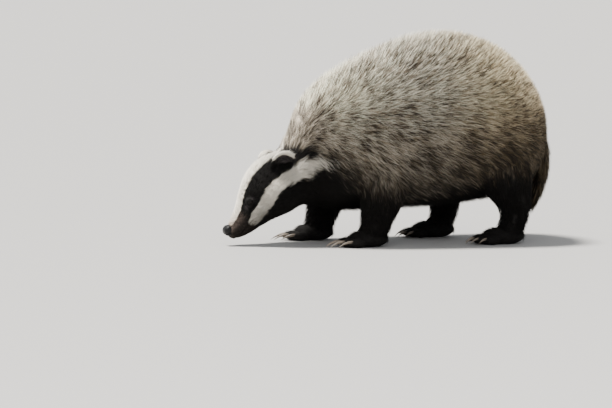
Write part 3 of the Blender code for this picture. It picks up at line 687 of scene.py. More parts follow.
def nearest_station(places):
    """Station and turn of the body surface nearest to places, by trial over a coarse grid and
    three rounds of closing in."""
    tt, aa = np.meshgrid(np.linspace(0, LAST, 127), np.linspace(-math.pi, math.pi, 73)[:-1], indexing="ij")
    tt, aa = tt.ravel(), aa.ravel()
    grid = body_at(tt, aa, skin_depth(tt))
    best = np.empty(len(places), int)
    chunk = 4000
    for first in range(0, len(places), chunk):
        part = places[first : first + chunk]
        far = (part**2).sum(1)[:, None] - 2 * part @ grid.T + (grid**2).sum(1)[None]
        best[first : first + chunk] = far.argmin(1)
    t, turn = tt[best], aa[best]
    for _ in range(3):
        here, _, by_t, by_turn = surface_frame(body_at, t, turn, skin_depth(t))
        away = places - here
        a, b, c = (by_t**2).sum(1), (by_t * by_turn).sum(1), (by_turn**2).sum(1)
        p, q = (away * by_t).sum(1), (away * by_turn).sum(1)
        whole = np.maximum(a * c - b * b, 1e-3)
        t = np.clip(t + np.clip((p * c - q * b) / whole, -0.2, 0.2), 0, LAST)
        turn = turn + np.clip((q * a - p * b) / whole, -0.15, 0.15)
    return t, turn


def limb_weight(places, name):
    """1 on a leg below where it leaves the body, 0 on the body."""
    leg = LEGS[name]
    same = smooth(8.0, 20.0, places[:, 1] * leg.side)
    x = places[:, 0] - leg.shift
    beside = 1 - smooth(56.0, 76.0, np.abs(x - leg.levels[2][0]))
    return same * beside * (1 - smooth(70.0, 100.0, places[:, 2]))


# Unwrap
def body_unwrap(t, turn):
    """Place on the unwrap: along the body by station and across it by turn from the belly."""
    across = np.mod(turn + 0.5 * math.pi, FULL_TURN) / FULL_TURN
    return np.stack([0.02 + 0.96 * t / LAST, 0.02 + 0.56 * across], 1)


def island_unwrap(length, index):
    """Unwrap of a leg or the tail by level and turn: its own island above the body's."""

    def spot(t, turn):
        across = np.mod(turn, FULL_TURN) / FULL_TURN
        return np.stack([0.02 + 0.19 * index + 0.17 * across, 0.62 + 0.34 * t / length], 1)

    return spot


def limb_turn(places, name):
    """Level and turn of places on a leg, from their height and their way round it."""
    leg = LEGS[name]
    order = leg.levels[::-1]
    t = LAST_LEVEL - np.interp(places[:, 2], order[:, 2], np.arange(LAST_LEVEL + 1))
    rows = between(leg.levels, t)
    x = places[:, 0] - leg.shift - rows[:, 0]
    y = places[:, 1] - leg.side * rows[:, 1]
    return t, np.arctan2(y, x)


# Lie of the coat
def head_lie(places):
    """Lie of the face's fur: back from the nose along the head, and away from the middle line."""
    flow = np.tile(HEAD_AXIS, (len(places), 1))
    flow[:, 1] += 0.22 * np.sign(places[:, 1]) * smooth(0, 12, np.abs(places[:, 1]))
    return flow


def body_lie(places):
    """Lie of the coat: back along the head and neck, back and steeply down over the shoulder,
    level along the flank, a little up on the upper rump and down below it."""
    x, y, z = places.T
    low = np.clip((230.0 - z) / 130.0, 0, 1) * np.clip(np.abs(y) / 90.0, 0, 1)
    shoulder = 1 - smooth(-60.0, 30.0, x)
    rump = smooth(110.0, 200.0, x)
    down = -0.12 - low * (0.28 + 0.6 * shoulder) + rump * 0.3 * smooth(120.0, 200.0, z)
    flow = np.stack([1.0 - 0.3 * rump, 0 * y, down - 0.5 * rump * (1 - smooth(90.0, 170.0, z))], 1)
    neck = (1 - smooth(-185.0, -110.0, x))[:, None]
    throat = (1 - smooth(60.0, 130.0, z))[:, None]
    forward = HEAD_AXIS * (1 - 0.75 * throat) + np.array((0.5, 0, 0)) * throat
    return flow * (1 - neck) + forward * neck


def hanging_lie(places):
    """Lie of the hair on legs and tail: downwards, and a little back."""
    return np.broadcast_to(np.array((0.14, 0.0, -1.0)), places.shape)


# Coat. A surface for hair to grow on has its kind of colours, its shape, the lie of the coat, the
# skin's depth by station and its unwrap.
Surface = namedtuple("Surface", "kind at lie depth spot")


def even_depth(depth):
    """Skin's depth by station, where it is the same all along."""
    return lambda t: 0 * t + depth


BODY = Surface("body", body_at, body_lie, skin_depth, body_unwrap)
FACE = BODY._replace(lie=head_lie)
TAIL_HAIR = Surface("tail", tail_at, hanging_lie, even_depth(TAIL_COAT), island_unwrap(len(TAIL) - 1, 4))
LEG_HAIR = {
    name: Surface("leg", leg_at(name), hanging_lie, even_depth(LEG_COAT), island_unwrap(LAST_LEVEL, i))
    for i, name in enumerate(LEGS)
}
Hairs = namedtuple("Hairs", "roots tips sides ups widths")
HAIR_FACES = np.array([(0, 2, 1), (0, 1, 3), (1, 2, 3), (2, 0, 3)])
# Share of a hair's way to its tip where its colour is read from the markings
SEEN = 0.68
# Side of a hair's patch on the unwrap, and height below which no hair hangs
PATCH, LOWEST_HAIR = 0.003, 0.4


def follow(surface, t, turn, distance, bend):
    """Walks a distance for each hair over a surface along the lie, turned by a small angle."""
    steps = 3
    for _ in range(steps):
        here, normal, by_t, by_turn = surface_frame(surface.at, t, turn, 0.0)
        flow = surface.lie(here)
        flow = flow + np.cross(normal, flow) * bend[:, None]
        tt, tu, uu = (by_t * by_t).sum(1), (by_t * by_turn).sum(1), (by_turn * by_turn).sum(1)
        ft, fu = (flow * by_t).sum(1), (flow * by_turn).sum(1)
        step_t, step_turn = ft * uu - fu * tu, fu * tt - ft * tu
        size = np.linalg.norm(step_t[:, None] * by_t + step_turn[:, None] * by_turn, axis=1)
        scale = distance / steps / np.maximum(size, 1e-6)
        t = t + np.clip(scale * step_t, -1.2, 1.2)
        turn = turn + np.clip(scale * step_turn, -0.6, 0.6)
    return t, turn


def spread_roots(at, first, last, count, draw):
    """Roots spread evenly by area between two stations: tried at random, and kept in proportion
    to the surface that each one stands for."""
    t = draw.uniform(first, last, count * 8)
    turn = draw.uniform(0, FULL_TURN, count * 8)
    _, _, by_t, by_turn = surface_frame(at, t, turn, 0.0)
    area = np.linalg.norm(np.cross(by_t, by_turn), axis=1)
    keep = draw.uniform(0, 1, len(t)) < area / np.quantile(area, 0.97)
    return t[keep][:count], turn[keep][:count]


def hair_piece(name, hairs, colours, spots):
    """Piece of coat from closed hairs: three corners round the root, drawn out to a point at the
    tip, with colours at root and tip and one small patch on the unwrap for each hair."""
    for ends in (hairs.roots, hairs.tips):
        ends[:, 2] = np.maximum(ends[:, 2], LOWEST_HAIR)
    corners = []
    for angle in np.radians((90.0, 210.0, 330.0)):
        away = math.cos(angle) * hairs.sides + 0.55 * math.sin(angle) * hairs.ups
        corners.append(hairs.roots + away * (hairs.widths / 2)[:, None])
    verts = np.stack([*corners, hairs.tips], 1).reshape(-1, 3)
    faces = (np.arange(len(hairs.roots))[:, None, None] * 4 + HAIR_FACES[None]).reshape(-1, 3)
    faces = faces.astype(np.int32)
    mesh = bpy.data.meshes.new(name)
    mesh.vertices.add(len(verts))
    mesh.vertices.foreach_set("co", (np.asarray(verts, np.float32) * MM).ravel())
    mesh.loops.add(faces.size)
    mesh.loops.foreach_set("vertex_index", faces.ravel())
    mesh.polygons.add(len(faces))
    mesh.polygons.foreach_set("loop_start", np.arange(len(faces), dtype=np.int32) * 3)
    mesh.update(calc_edges=True)
    mesh.polygons.foreach_set("use_smooth", np.ones(len(faces), bool))
    paint(mesh, colours[:, (0, 0, 0, 1)].reshape(-1, 3))
    patch = PATCH * np.array([(-0.5, -0.5), (0.0, -0.5), (0.5, -0.5), (0.0, 0.5)])
    lay_out(mesh, (spots[:, None] + patch[None])[:, HAIR_FACES.ravel()].reshape(-1, 2))
    mesh.validate()
    mesh.materials.append(COAT)
    piece = add_object(name, mesh)
    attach(piece, "root")


def tufts(surface, roots, per_tuft, size, lift, bend, draw):
    """Tufts of hairs: each tuft walks over the surface from its root at the skin to its tip near
    the outline; its hairs start apart and close in towards the tip. On the back and the rump the
    tufts stand up more steeply, and on the face they follow the head's swellings. Returns the
    hairs, the tuft of each, and the station and turn where each tuft's colour is read."""
    t, turn = roots
    length, spread, width = size
    count = len(t)
    root_depth = surface.depth(t)
    start, up, _, _ = surface_frame(surface.at, t, turn, root_depth * 1.15)
    steep = smooth(0.15, 0.85, up[:, 2] + 0.8 * np.maximum(up[:, 0], 0)) * (root_depth > 6.5)
    rise = lift[0] + 0.15 * steep + lift[1] * (0.8 + 0.5 * steep) * draw.normal(0, 1, count)
    rise = np.clip(rise, -0.6, 0.3 + 0.5 * steep)
    length = length * (1 - 0.5 * steep)
    tip_t, tip_turn = follow(surface, t, turn, length, draw.normal(0, bend * (1 + 0.6 * steep)))
    end = surface.at(tip_t, tip_turn, -rise * root_depth)
    if surface.at is body_at and t.min() < NAPE - 1:
        start, end = shape_head(start, up), shape_head(end, up)
    ahead = unit(end - start)
    side = unit(np.cross(ahead, up))
    up = np.cross(side, ahead)
    tuft = np.repeat(np.arange(count), per_tuft)
    beside, before, over = np.clip(draw.normal(0, 1, (3, len(tuft), 1)), -2, 2)
    spread = np.broadcast_to(spread, count)[tuft][:, None]
    shift = side[tuft] * beside * spread
    along = ahead[tuft] * before * spread * 1.3
    raised = up[tuft] * over * (0.08 * root_depth)[tuft][:, None]
    first, last = start[tuft] + shift + along, end[tuft] + 0.5 * shift + along + raised
    widths = np.broadcast_to(width, count)[tuft] * draw.uniform(0.65, 1.3, len(tuft))
    seen = (t + SEEN * (tip_t - t), turn + SEEN * (tip_turn - turn))
    return Hairs(first, last, side[tuft], up[tuft], widths), tuft, seen


def grey_hair(places, line, tuft, draw):
    """Root and tip colours of the grey coat's hairs. Whole tufts are pale, tan or dark. The coat is paler
    on the shoulder; it is paler and brighter up the back, partly its own colour and partly painted light
    from above; it is browner towards the rump; and it is darker towards the lower rump and just above its
    black edge, partly its own colour and partly painted shade."""
    count = len(places)
    x, z = places[:, 0], places[:, 2]
    mottle = waves(places, 9.0, 8)
    shoulder = np.exp(-(((x + 88) / 48) ** 2) - ((z - 232) / 42) ** 2)
    neck = np.exp(-(((x + 144) / 30) ** 2) - ((z - 168) / 40) ** 2)
    cream = np.maximum(shoulder, 0.3 * neck)[:, None]
    fade = np.interp(x, (-120, -60, 20), (26, 62, 118))
    # Painted shade, partly: low darkens the coat towards its black edge and rear darkens the lower rump,
    # partly the coat's own darkening and partly shade painted in
    low = 1 - smooth(0.0, 1.0, (z - line + 10 * mottle) / fade)
    rear = smooth(120.0, 240.0, x) * (1 - smooth(210.0, 290.0, z))
    behind = smooth(30.0, 170.0, x)[:, None]
    # Painted light, partly: high makes the upper back paler and brighter, partly the coat's own paler back
    # and partly light from above painted in
    high = smooth(130.0, 240.0, z)
    kind = draw.uniform(0, 1, tuft.max() + 1)[tuft]
    kind = kind + 0.14 * mottle - 0.16 * low - 0.08 * rear + 0.12 * high
    kind = kind - 0.12 * neck + 0.1 * waves(places, 22.0, 9) + 0.2 * waves(places, 2.6, 10)
    pale = smooth(0.5, 0.55, kind)[:, None]
    dark = 1 - smooth(0.33, 0.38, kind)[:, None]
    warm = np.array((1.0, 0.90, 0.71)) * behind + (1 - behind)
    tan = (TAN * (1 - cream) + CREAM * 0.7 * cream) * warm
    tip = (SILVER * (1 - cream) + CREAM * cream) * (0.2 + 0.8 * warm)
    tip = tip * 1.12 * pale + tan * (1 - pale) * (1 - dark) + DARK_BAND * 0.9 * dark
    bright = draw.uniform(0.7, 1.25, count) * (1 - 0.5 * low) * (1 - 0.25 * rear) * (1 - 0.42 * neck)
    bright = bright * (1 + 0.15 * cream[:, 0]) * (1 + 0.4 * high)
    single = draw.uniform(0, 1, count) < 0.1 + 0.3 * low
    bright = np.clip(np.where(single, 0.2 * bright, bright), 0.05, 1.25)
    tip = tip * bright[:, None]
    return DARK_BAND * 0.7 * (1 + 1.5 * cream) + 0.14 * tip * warm, tip


def coat_colours(kind, places, t, turn, tuft, draw):
    """Root and tip colours of hairs. Each tuft of the body is white, black, brown or grey, by
    chance where two of them meet; the legs are black and the tail is grey."""
    count = len(places)
    line = np.interp(places[:, 0], *DARK_LINE)
    stray = draw.normal(0, 8.0, count)
    white = black = brown = np.zeros(count)
    pale, fawn, sheen = WHITE_FUR, MUZZLE_FUR, 0.0
    if kind == "body":
        so_far = np.cumsum(body_marks(t, turn, places, stray), axis=0)
        pick = draw.uniform(0.02, 0.98, tuft.max() + 1)[tuft]
        white = pick < so_far[0]
        black = (pick < so_far[1]) & ~white
        brown = (pick < so_far[2]) & ~black & ~white
        pale, fawn, sheen = face_furs(t, turn, places)
    elif kind == "leg":
        black = 1 - smooth(-14.0, 14.0, places[:, 2] + stray - line)
    root, tip = grey_hair(places, line, tuft, draw)
    if kind == "tail":
        root, tip = root * 1.6, np.clip(tip * 1.6, 0, 0.9)
    grey = np.stack([root, tip], 1)
    pale = pale * draw.uniform(0.72, 1.06, count)[:, None]
    pale = np.stack([pale * 0.85, pale], 1)
    # Black fur, greyed by the painted sheen on the brow and the bulge before each eye
    jet = (BLACK_FUR * (1 - sheen) + GREY_AND_SHEEN_FUR * sheen * 0.85) * draw.uniform(0.4, 1.35, count)[:, None]
    jet = np.stack([jet * 0.8, jet * 1.4], 1)
    fawn = fawn * draw.uniform(0.6, 1.35, count)[:, None]
    fawn = np.stack([fawn * 0.8, fawn * 1.1], 1)
    w, b, m = [1.0 * share[:, None, None] for share in (white, black, brown)]
    return np.clip(pale * w + jet * b + fawn * m + grey * np.clip(1 - w - b - m, 0, 1), DARKEST, 1)


def grow(name, surface, span, count, per_tuft, size, lift, bend, seed, keep=None):
    """One piece of coat between two stations of a surface, with tufts of a length, a spread and
    hairs of a width, each a number or a function of the station. Lift is how far the tips stand
    past the outline, in depths of the coat, and how much that varies."""
    draw = np.random.default_rng(seed)
    t, turn = spread_roots(surface.at, *span, count, draw)
    here = surface.at(t, turn, 0.0)
    if keep is not None:
        chosen = keep(here)
        t, turn, here = t[chosen], turn[chosen], here[chosen]
    length, spread, width = [value(t) if callable(value) else value for value in size]
    length = length * draw.uniform(0.8, 1.15, len(t))
    if keep is clear_face:
        length = length * (1 - 0.6 * blob(here, eye_frame(1)[0], 9.0))
    hairs, tuft, seen = tufts(surface, (t, turn), per_tuft, (length, spread, width), lift, bend, draw)
    places = hairs.roots + SEEN * (hairs.tips - hairs.roots)
    colours = coat_colours(surface.kind, places, seen[0][tuft], seen[1][tuft], tuft, draw)
    spots = surface.spot(t, turn)[tuft] + draw.uniform(-0.004, 0.004, (len(tuft), 2))
    hair_piece(name, hairs, colours, spots)


def clear_face(here):
    """Keeps the fur off the eyes and the nose pad."""
    keep = np.ones(len(here), bool)
    for side in SIDES.values():
        height, p, q = seen_from_eye(here, side)
        keep &= ~((np.hypot((p + 0.2) / 5.8, (q + 0.2) / 2.9) < 1) & (height > -2))
    x, z = on_head(*NOSE_PLACE)
    away = here - np.array((x, 0, z))
    across, above = here[:, 1] / (NOSE_HALF[1] - 0.5), (away @ HEAD_UP) / (NOSE_HALF[2] - 0.5)
    return keep & ~((np.hypot(across, above) < 1) & (away @ HEAD_AXIS < 5.0))


def below_body(here):
    """Keeps a leg's own fur to where it can stand clear of the body."""
    return (here[:, 2] < 100) | ((here[:, 2] < 152) & (np.abs(here[:, 1]) > 70))


def plant(name, skin, chosen, flow, length, width, colours, draw, lean, scatter=0.0):
    """Short single hairs on chosen points of the skin, or scattered round them: each leaves it at
    a slant along the flow, and ends in a point."""
    count = len(chosen)
    places, normals, spots = [part[chosen] for part in skin]
    if scatter:
        places = places + np.cross(normals, draw.normal(0, scatter, (count, 3)))
    flow = flow + draw.normal(0, 0.22, (count, 3))
    flow = unit(flow - normals * (flow * normals).sum(1)[:, None])
    reach = length * draw.uniform(0.7, 1.2, count)
    roots = places - normals * (0.12 * reach)[:, None]
    tips = places + flow * reach[:, None] + normals * (lean * reach)[:, None]
    widths = width * draw.uniform(0.7, 1.3, count)
    hairs = Hairs(roots, tips, np.cross(flow, normals), normals, widths)
    colours = np.clip(np.stack([colours * 0.85, colours * 1.15], 1), DARKEST, 1)
    hair_piece(name, hairs, colours, spots)


def paw_fur(name, skin, count, seed):
    """Short fur on the top and sides of a paw, lying towards the claws."""
    draw = np.random.default_rng(seed)
    middle, spin = paw_frame(name)
    away = skin.places - middle
    near = (np.abs(away[:, 1]) < 34) & (np.abs(away[:, 0]) < LEGS[name].paw)
    level = (skin.places[:, 2] < 32) & (skin.places[:, 2] > 5) & (skin.normals[:, 2] > -0.5)
    here = np.flatnonzero(near & level)
    chosen = draw.choice(here, min(count, len(here)), replace=False)
    flow = np.tile((-math.cos(spin), -math.sin(spin), -0.35), (len(chosen), 1))
    colours = BLACK_FUR * draw.uniform(0.8, 2.6, len(chosen))[:, None]
    plant(f"coat_{name.replace('leg', 'paw')}", skin, chosen, flow, 7.0, 0.6, colours, draw, 0.35)


def ear_fur(label, side, skin, share, seed):
    """Fur of an ear: white along its rim, black on its back and thin and dark in its cup."""
    draw = np.random.default_rng(seed)
    out = ear_axes(side)[0]
    reach, height, on_it, white = near_ear(skin.places, side)
    edge, white = on_it & (reach > 0.68), white > 0.5
    back = (on_it & (reach <= 0.7) & (height < -6.5)) | (edge & ~white)
    cup = on_it & (reach <= 0.72) & (height > -6.0)
    parts = (("rim", edge & white, 1800, 5.5), ("back", back, 1700, 5.0), ("cup", cup, 1300, 5.0))
    for part, where, count, length in parts:
        chosen = draw.choice(np.flatnonzero(where), int(count * share))
        if part == "rim":
            away = skin.places[chosen] - EAR_ROOTS[side]
            outward = unit(away - out * (away @ out)[:, None])
            flow = outward * 0.5 + np.array((0.9, 0, 0.3)) + out * 0.1
            colours = WHITE_FUR * draw.uniform(0.85, 1.05, len(chosen))[:, None]
        else:
            flow = np.tile((0.8, 0.0, 0.7), (len(chosen), 1))
            base = BLACK_FUR if part == "back" else GREY_AND_SHEEN_FUR * 0.85
            colours = base * draw.uniform(0.8, 2.5, len(chosen))[:, None]
        plant(f"coat_ear_{part}_{label}", skin, chosen, flow, length, 0.5, colours, draw, 0.25, 0.9)


def lid_fur(label, side, skin, share, seed):
    """Very short fur on the lids of an eye, lying backwards, up to the edge of the slit."""
    draw = np.random.default_rng(seed)
    _, _, along, up = eye_frame(side)
    height, p, q = seen_from_eye(skin.places, side)
    near = (np.hypot(p, q) < 9.0) & (np.abs(height) < 9.0)
    p, q = p - SLIT_MIDDLE[0], q - SLIT_MIDDLE[1]
    reach = np.hypot(p / SLIT_LONG, q / SLIT_LOW)
    chosen = draw.choice(np.flatnonzero(near & (reach > 1.25)), int(2200 * share))
    flow = along * 0.9 + np.sign(q[chosen])[:, None] * up * 0.35
    # Painted sheen: the lids' black fur is greyed towards the brow and the bulge before the eye
    sheen = painted_sheen(skin.places[chosen])[:, None]
    colours = (BLACK_FUR * (1 - sheen) + GREY_AND_SHEEN_FUR * sheen) * draw.uniform(0.7, 1.8, len(chosen))[:, None]
    length = 1.1 + 1.3 * smooth(1.3, 3.0, reach[chosen])
    plant(f"coat_lids_{label}", skin, chosen, flow, length, 0.3, colours, draw, 0.3, 0.35)


def make_coat(skin):
    """The whole coat, in pieces by region: name, surface, stations, tufts, hairs in a tuft, then
    their length, spread and width, their lift and how much that varies, bend, seed and what keeps
    a bare place clear."""
    share = 1.0

    def by(stations, values):
        return lambda t: np.interp(t, stations, values)

    spans = ((9.0, 11.6), (11.6, 13.6), (13.6, 15.2), (15.2, 16.7), (16.7, 18.3), (18.3, 20.8))
    counts = (15700, 18000, 18000, 17700, 17200, 15700)
    size = (by((9, 11, 13, 18, 21), (16, 17, 17, 17, 18)), 0.6, 0.72)
    regions = [
        (f"coat_body_{i + 1}", BODY, span, count, 2, size, (0.1, 0.26), 0.24, 40 + i)
        for i, (span, count) in enumerate(zip(spans, counts))
    ]
    size = (by((7, 9), (10, 17)), 1.3, 0.55)
    regions.append(("coat_nape", BODY, (7.2, 9.2), 3800, 5, size, (0.05, 0.22), 0.16, 50))
    size = (by((5.2, 7.5), (7.5, 11)), by((5.2, 7.5), (1.1, 1.4)), 0.54)
    regions.append(("coat_head", FACE, (5.2, 7.7), 5000, 5, size, (-0.1, 0.18), 0.13, 51, clear_face))
    size = (by((3.1, 5.4), (4.0, 8.0)), 0.8, by((3.1, 5.4), (0.42, 0.56)))
    regions.append(("coat_face", FACE, (3.1, 5.4), 5200, 5, size, (-0.05, 0.2), 0.14, 53, clear_face))
    size = (by((0.1, 3.4), (1.8, 4.2)), 0.6, 0.38)
    regions.append(("coat_muzzle", FACE, (0.1, 3.3), 4700, 5, size, (-0.15, 0.2), 0.15, 52, clear_face))
    size = (by((0, 2, 3.5, 4.7), (24, 18, 11, 7)), 1.6, 0.66)
    regions += [
        (f"coat_{name}", surface, (0.3, 4.8), 2700, 5, size, (0.15, 0.35), 0.2, 60 + i, below_body)
        for i, (name, surface) in enumerate(LEG_HAIR.items())
    ]
    size = (by((0, 5), (36, 30)), 2.3, 0.72)
    regions.append(("coat_tail", TAIL_HAIR, (0.3, 4.9), 2000, 6, size, (0.05, 0.3), 0.17, 70))
    for name, surface, span, count, *rest in regions:
        grow(name, surface, span, int(count * share), *rest)
    for i, name in enumerate(LEGS):
        paw_fur(name, skin, int(4500 * share), 80 + i)
    for label, side in SIDES.items():
        ear_fur(label, side, skin, share, 90 + side)
        lid_fur(label, side, skin, share, 94 + side)


# Materials
def new_material(name):
    """Material with its node tree and its Principled shader."""
    material = bpy.data.materials.new(name)
    material.use_nodes = True
    return material, material.node_tree, material.node_tree.nodes["Principled BSDF"]


def fleck_group():
    """Shared effect: fine flecks that lighten and darken a colour, and a height for bump."""
    group = bpy.data.node_groups.new("flecks", "ShaderNodeTree")
    sockets = (
        ("Colour", "INPUT", "NodeSocketColor"),
        ("Scale", "INPUT", "NodeSocketFloat"),
        ("Amount", "INPUT", "NodeSocketFloat"),
        ("Colour", "OUTPUT", "NodeSocketColor"),
        ("Height", "OUTPUT", "NodeSocketFloat"),
    )
    for label, way, kind in sockets:
        group.interface.new_socket(label, in_out=way, socket_type=kind)
    nodes, links = group.nodes, group.links
    given, put = nodes.new("NodeGroupInput"), nodes.new("NodeGroupOutput")
    where = nodes.new("ShaderNodeTexCoord")
    noise = nodes.new("ShaderNodeTexNoise")
    noise.inputs["Detail"].default_value = 5.0
    noise.inputs["Roughness"].default_value = 0.65
    spread = nodes.new("ShaderNodeMapRange")
    spread.inputs["From Min"].default_value, spread.inputs["From Max"].default_value = 0.25, 0.75
    spread.inputs["To Min"].default_value = -1.0
    size = nodes.new("ShaderNodeMath")
    size.operation = "MULTIPLY_ADD"
    size.inputs[2].default_value = 1.0
    scale = nodes.new("ShaderNodeVectorMath")
    scale.operation = "SCALE"
    links.new(where.outputs["Object"], noise.inputs["Vector"])
    links.new(given.outputs["Scale"], noise.inputs["Scale"])
    links.new(noise.outputs["Fac"], spread.inputs["Value"])
    links.new(spread.outputs["Result"], size.inputs[0])
    links.new(given.outputs["Amount"], size.inputs[1])
    links.new(given.outputs["Colour"], scale.inputs[0])
    links.new(size.outputs["Value"], scale.inputs["Scale"])
    links.new(scale.outputs["Vector"], put.inputs["Colour"])
    links.new(noise.outputs["Fac"], put.inputs["Height"])
    return group


FLECKS = fleck_group()


def flecked_material(name, colour, roughness, shine, scale, amount, bump, strength):
    """Flecks on one colour, or on the tint that the mesh carries where no colour is given, and a
    fine bump of a depth in millimetres."""
    material, tree, shader = new_material(name)
    fleck = tree.nodes.new("ShaderNodeGroup")
    fleck.node_tree = FLECKS
    fleck.inputs["Scale"].default_value, fleck.inputs["Amount"].default_value = scale, amount
    if colour is None:
        tint = tree.nodes.new("ShaderNodeAttribute")
        tint.attribute_name = "tint"
        tree.links.new(tint.outputs["Color"], fleck.inputs["Colour"])
    else:
        fleck.inputs["Colour"].default_value = (*colour, 1)
    tree.links.new(fleck.outputs["Colour"], shader.inputs["Base Color"])
    shader.inputs["Roughness"].default_value = roughness
    shader.inputs["Specular IOR Level"].default_value = shine
    if bump:
        node = tree.nodes.new("ShaderNodeBump")
        node.inputs["Distance"].default_value, node.inputs["Strength"].default_value = bump * MM, strength
        tree.links.new(fleck.outputs["Height"], node.inputs["Height"])
        tree.links.new(node.outputs["Normal"], shader.inputs["Normal"])
    return material


COAT = flecked_material("coat", None, 0.62, 0.14, 900.0, 0.18, 0.0, 0.0)
SKIN = flecked_material("skin", None, 0.75, 0.14, 700.0, 0.3, 0.5, 0.6)
EYE = flecked_material("eye", (0.005, 0.0035, 0.0025), 0.09, 0.12, 300.0, 0.3, 0.0, 0.0)
NOSE = flecked_material("nose_skin", (0.005, 0.0046, 0.005), 0.42, 0.2, 1100.0, 0.35, 0.6, 0.7)
CLAW = flecked_material("claw_horn", (0.16, 0.13, 0.10), 0.4, 0.5, 500.0, 0.35, 0.1, 0.7)


# Skin, eyes, nose and claws
SkinPoints = namedtuple("SkinPoints", "places normals unwrap")


def finish_piece(piece, material):
    """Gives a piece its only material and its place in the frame."""
    piece.data.materials.clear()
    piece.data.materials.append(material)
    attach(piece, "root")


def make_skin():
    """One skin for all the flesh: body, ears, limbs and tail joined, tinted by the markings."""
    body = skin_body()
    pieces = [body, ear_shell(-1), ear_shell(1), skin_tail()] + [skin_limb(name) for name in LEGS]
    skin = join_solids("skin", pieces)
    mesh = skin.data
    places = read_points(mesh, "co") / MM
    t, turn = nearest_station(places)
    lips = (1 - smooth(0.1, 0.5, t))[:, None]
    colour = skin_colour(t, turn, places) * (1 - lips) + MUZZLE_FUR * 0.3 * lips
    unwrap = body_unwrap(t, turn)
    for name in LEGS:
        weight = limb_weight(places, name)[:, None]
        colour = colour * (1 - weight) + BLACK_FUR * 0.9 * weight
        unwrap = np.where(weight > 0.5, LEG_HAIR[name].spot(*limb_turn(places, name)), unwrap)
    for side in SIDES.values():
        reach, _, on_it, white = near_ear(places, side)
        rim = (smooth(0.66, 0.8, reach) * white)[:, None]
        ear = BLACK_FUR * 1.2 * (1 - rim) + WHITE_FUR * 0.8 * rim
        colour = np.where((on_it & (places[:, 1] * side > 30))[:, None], ear, colour)
    tail = (places[:, 0] > 219) & (np.abs(places[:, 1]) < 20) & (places[:, 2] < 165)
    colour = np.where(tail[:, None], UNDERCOAT * 0.5, colour)
    paint(mesh, np.clip(colour, DARKEST_SKIN, 1))
    corner = np.empty(len(mesh.loops), np.int32)
    mesh.loops.foreach_get("vertex_index", corner)
    lay_out(mesh, unwrap[corner])
    finish_piece(skin, SKIN)
    paws = [name.replace("leg", "paw") for name in LEGS]
    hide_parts("head", "neck", "torso", "tail", "ear_left", "ear_right", *LEGS, *paws)
    return SkinPoints(places, read_points(mesh, "normal"), unwrap)


def make_eye(side, label):
    """Eyeball with a slight bulge of the cornea: a sphere whose radius swells round its outward
    pole."""
    middle, out, along, up = eye_frame(side)
    swell = 0.045
    ball, angle = sphere(40, 48)
    radius = EYE_RADIUS * (1 + swell * np.exp(-((angle / 0.6) ** 2)))
    places = ball * radius[..., None] @ np.stack([out, along, up]) + middle
    front, back = middle + out * EYE_RADIUS * (1 + swell), middle - out * EYE_RADIUS
    eye = closed_tube(f"eyeball_{label}", places, front, back)
    finish_piece(eye, EYE)
    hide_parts(f"eye_{label}")


def make_nose():
    """Nose pad: a blunt block across the muzzle's end, every point of a sphere drawn out to where
    the sum of its coordinates' powers is one. It is narrower below and behind, and has on each
    side a nostril with a rim and a slot that runs outwards from it, and a groove down its middle."""
    x, z = on_head(*NOSE_PLACE)
    centre = np.array((x, 0, z))
    ahead, side, high = np.moveaxis(sphere(70, 120)[0], -1, 0)
    blunt = 2.9
    block = (np.abs(ahead) ** blunt + np.abs(side) ** blunt + np.abs(high) ** blunt) ** (-1 / blunt)
    ahead, side, high = ahead * block, side * block, high * block
    below, behind = smooth(-1.0, 0.6, -high), smooth(0.1, 1.0, -ahead)
    p, q = -NOSE_HALF[0] * ahead, NOSE_HALF[1] * side * (1 - 0.16 * below) * (1 - 0.25 * behind)
    top = 1 - 0.4 * behind - 0.1 * smooth(0.2, 1.0, ahead)
    r = NOSE_HALF[2] * high * np.where(high > 0, top, 1.0)
    hole = np.sqrt(((np.abs(q) - 5.4 - 0.3 * r) / 2.0) ** 2 + ((r + 0.8) / 2.7) ** 2)
    slot = np.sqrt(((np.abs(q) - 9.0) / 3.6) ** 2 + ((r + 2.2 + 0.25 * (np.abs(q) - 7)) / 1.0) ** 2)
    dent = 3.8 * (1 - smooth(0.55, 1.1, hole))
    pinch = 1 - 0.2 * (1 - smooth(0.5, 1.3, slot)) * smooth(-0.5, 0.1, ahead)
    ridge = 0.55 * np.exp(-((hole - 1.45) / 0.3) ** 2)
    groove = 0.7 * np.exp(-((q / 0.7) ** 2)) * smooth(2.0, -3.0, r)
    p = (p + (dent - ridge + groove) * smooth(-0.1, 0.5, ahead)) * pinch
    q, r = q * pinch, r * pinch
    places = centre + p[..., None] * HEAD_AXIS + r[..., None] * HEAD_UP
    places[..., 1] += q
    front, back = centre - NOSE_HALF[0] * HEAD_AXIS, centre + NOSE_HALF[0] * HEAD_AXIS
    nose = closed_tube("nose_pad", places, front, back)
    finish_piece(nose, NOSE)
    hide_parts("nose")


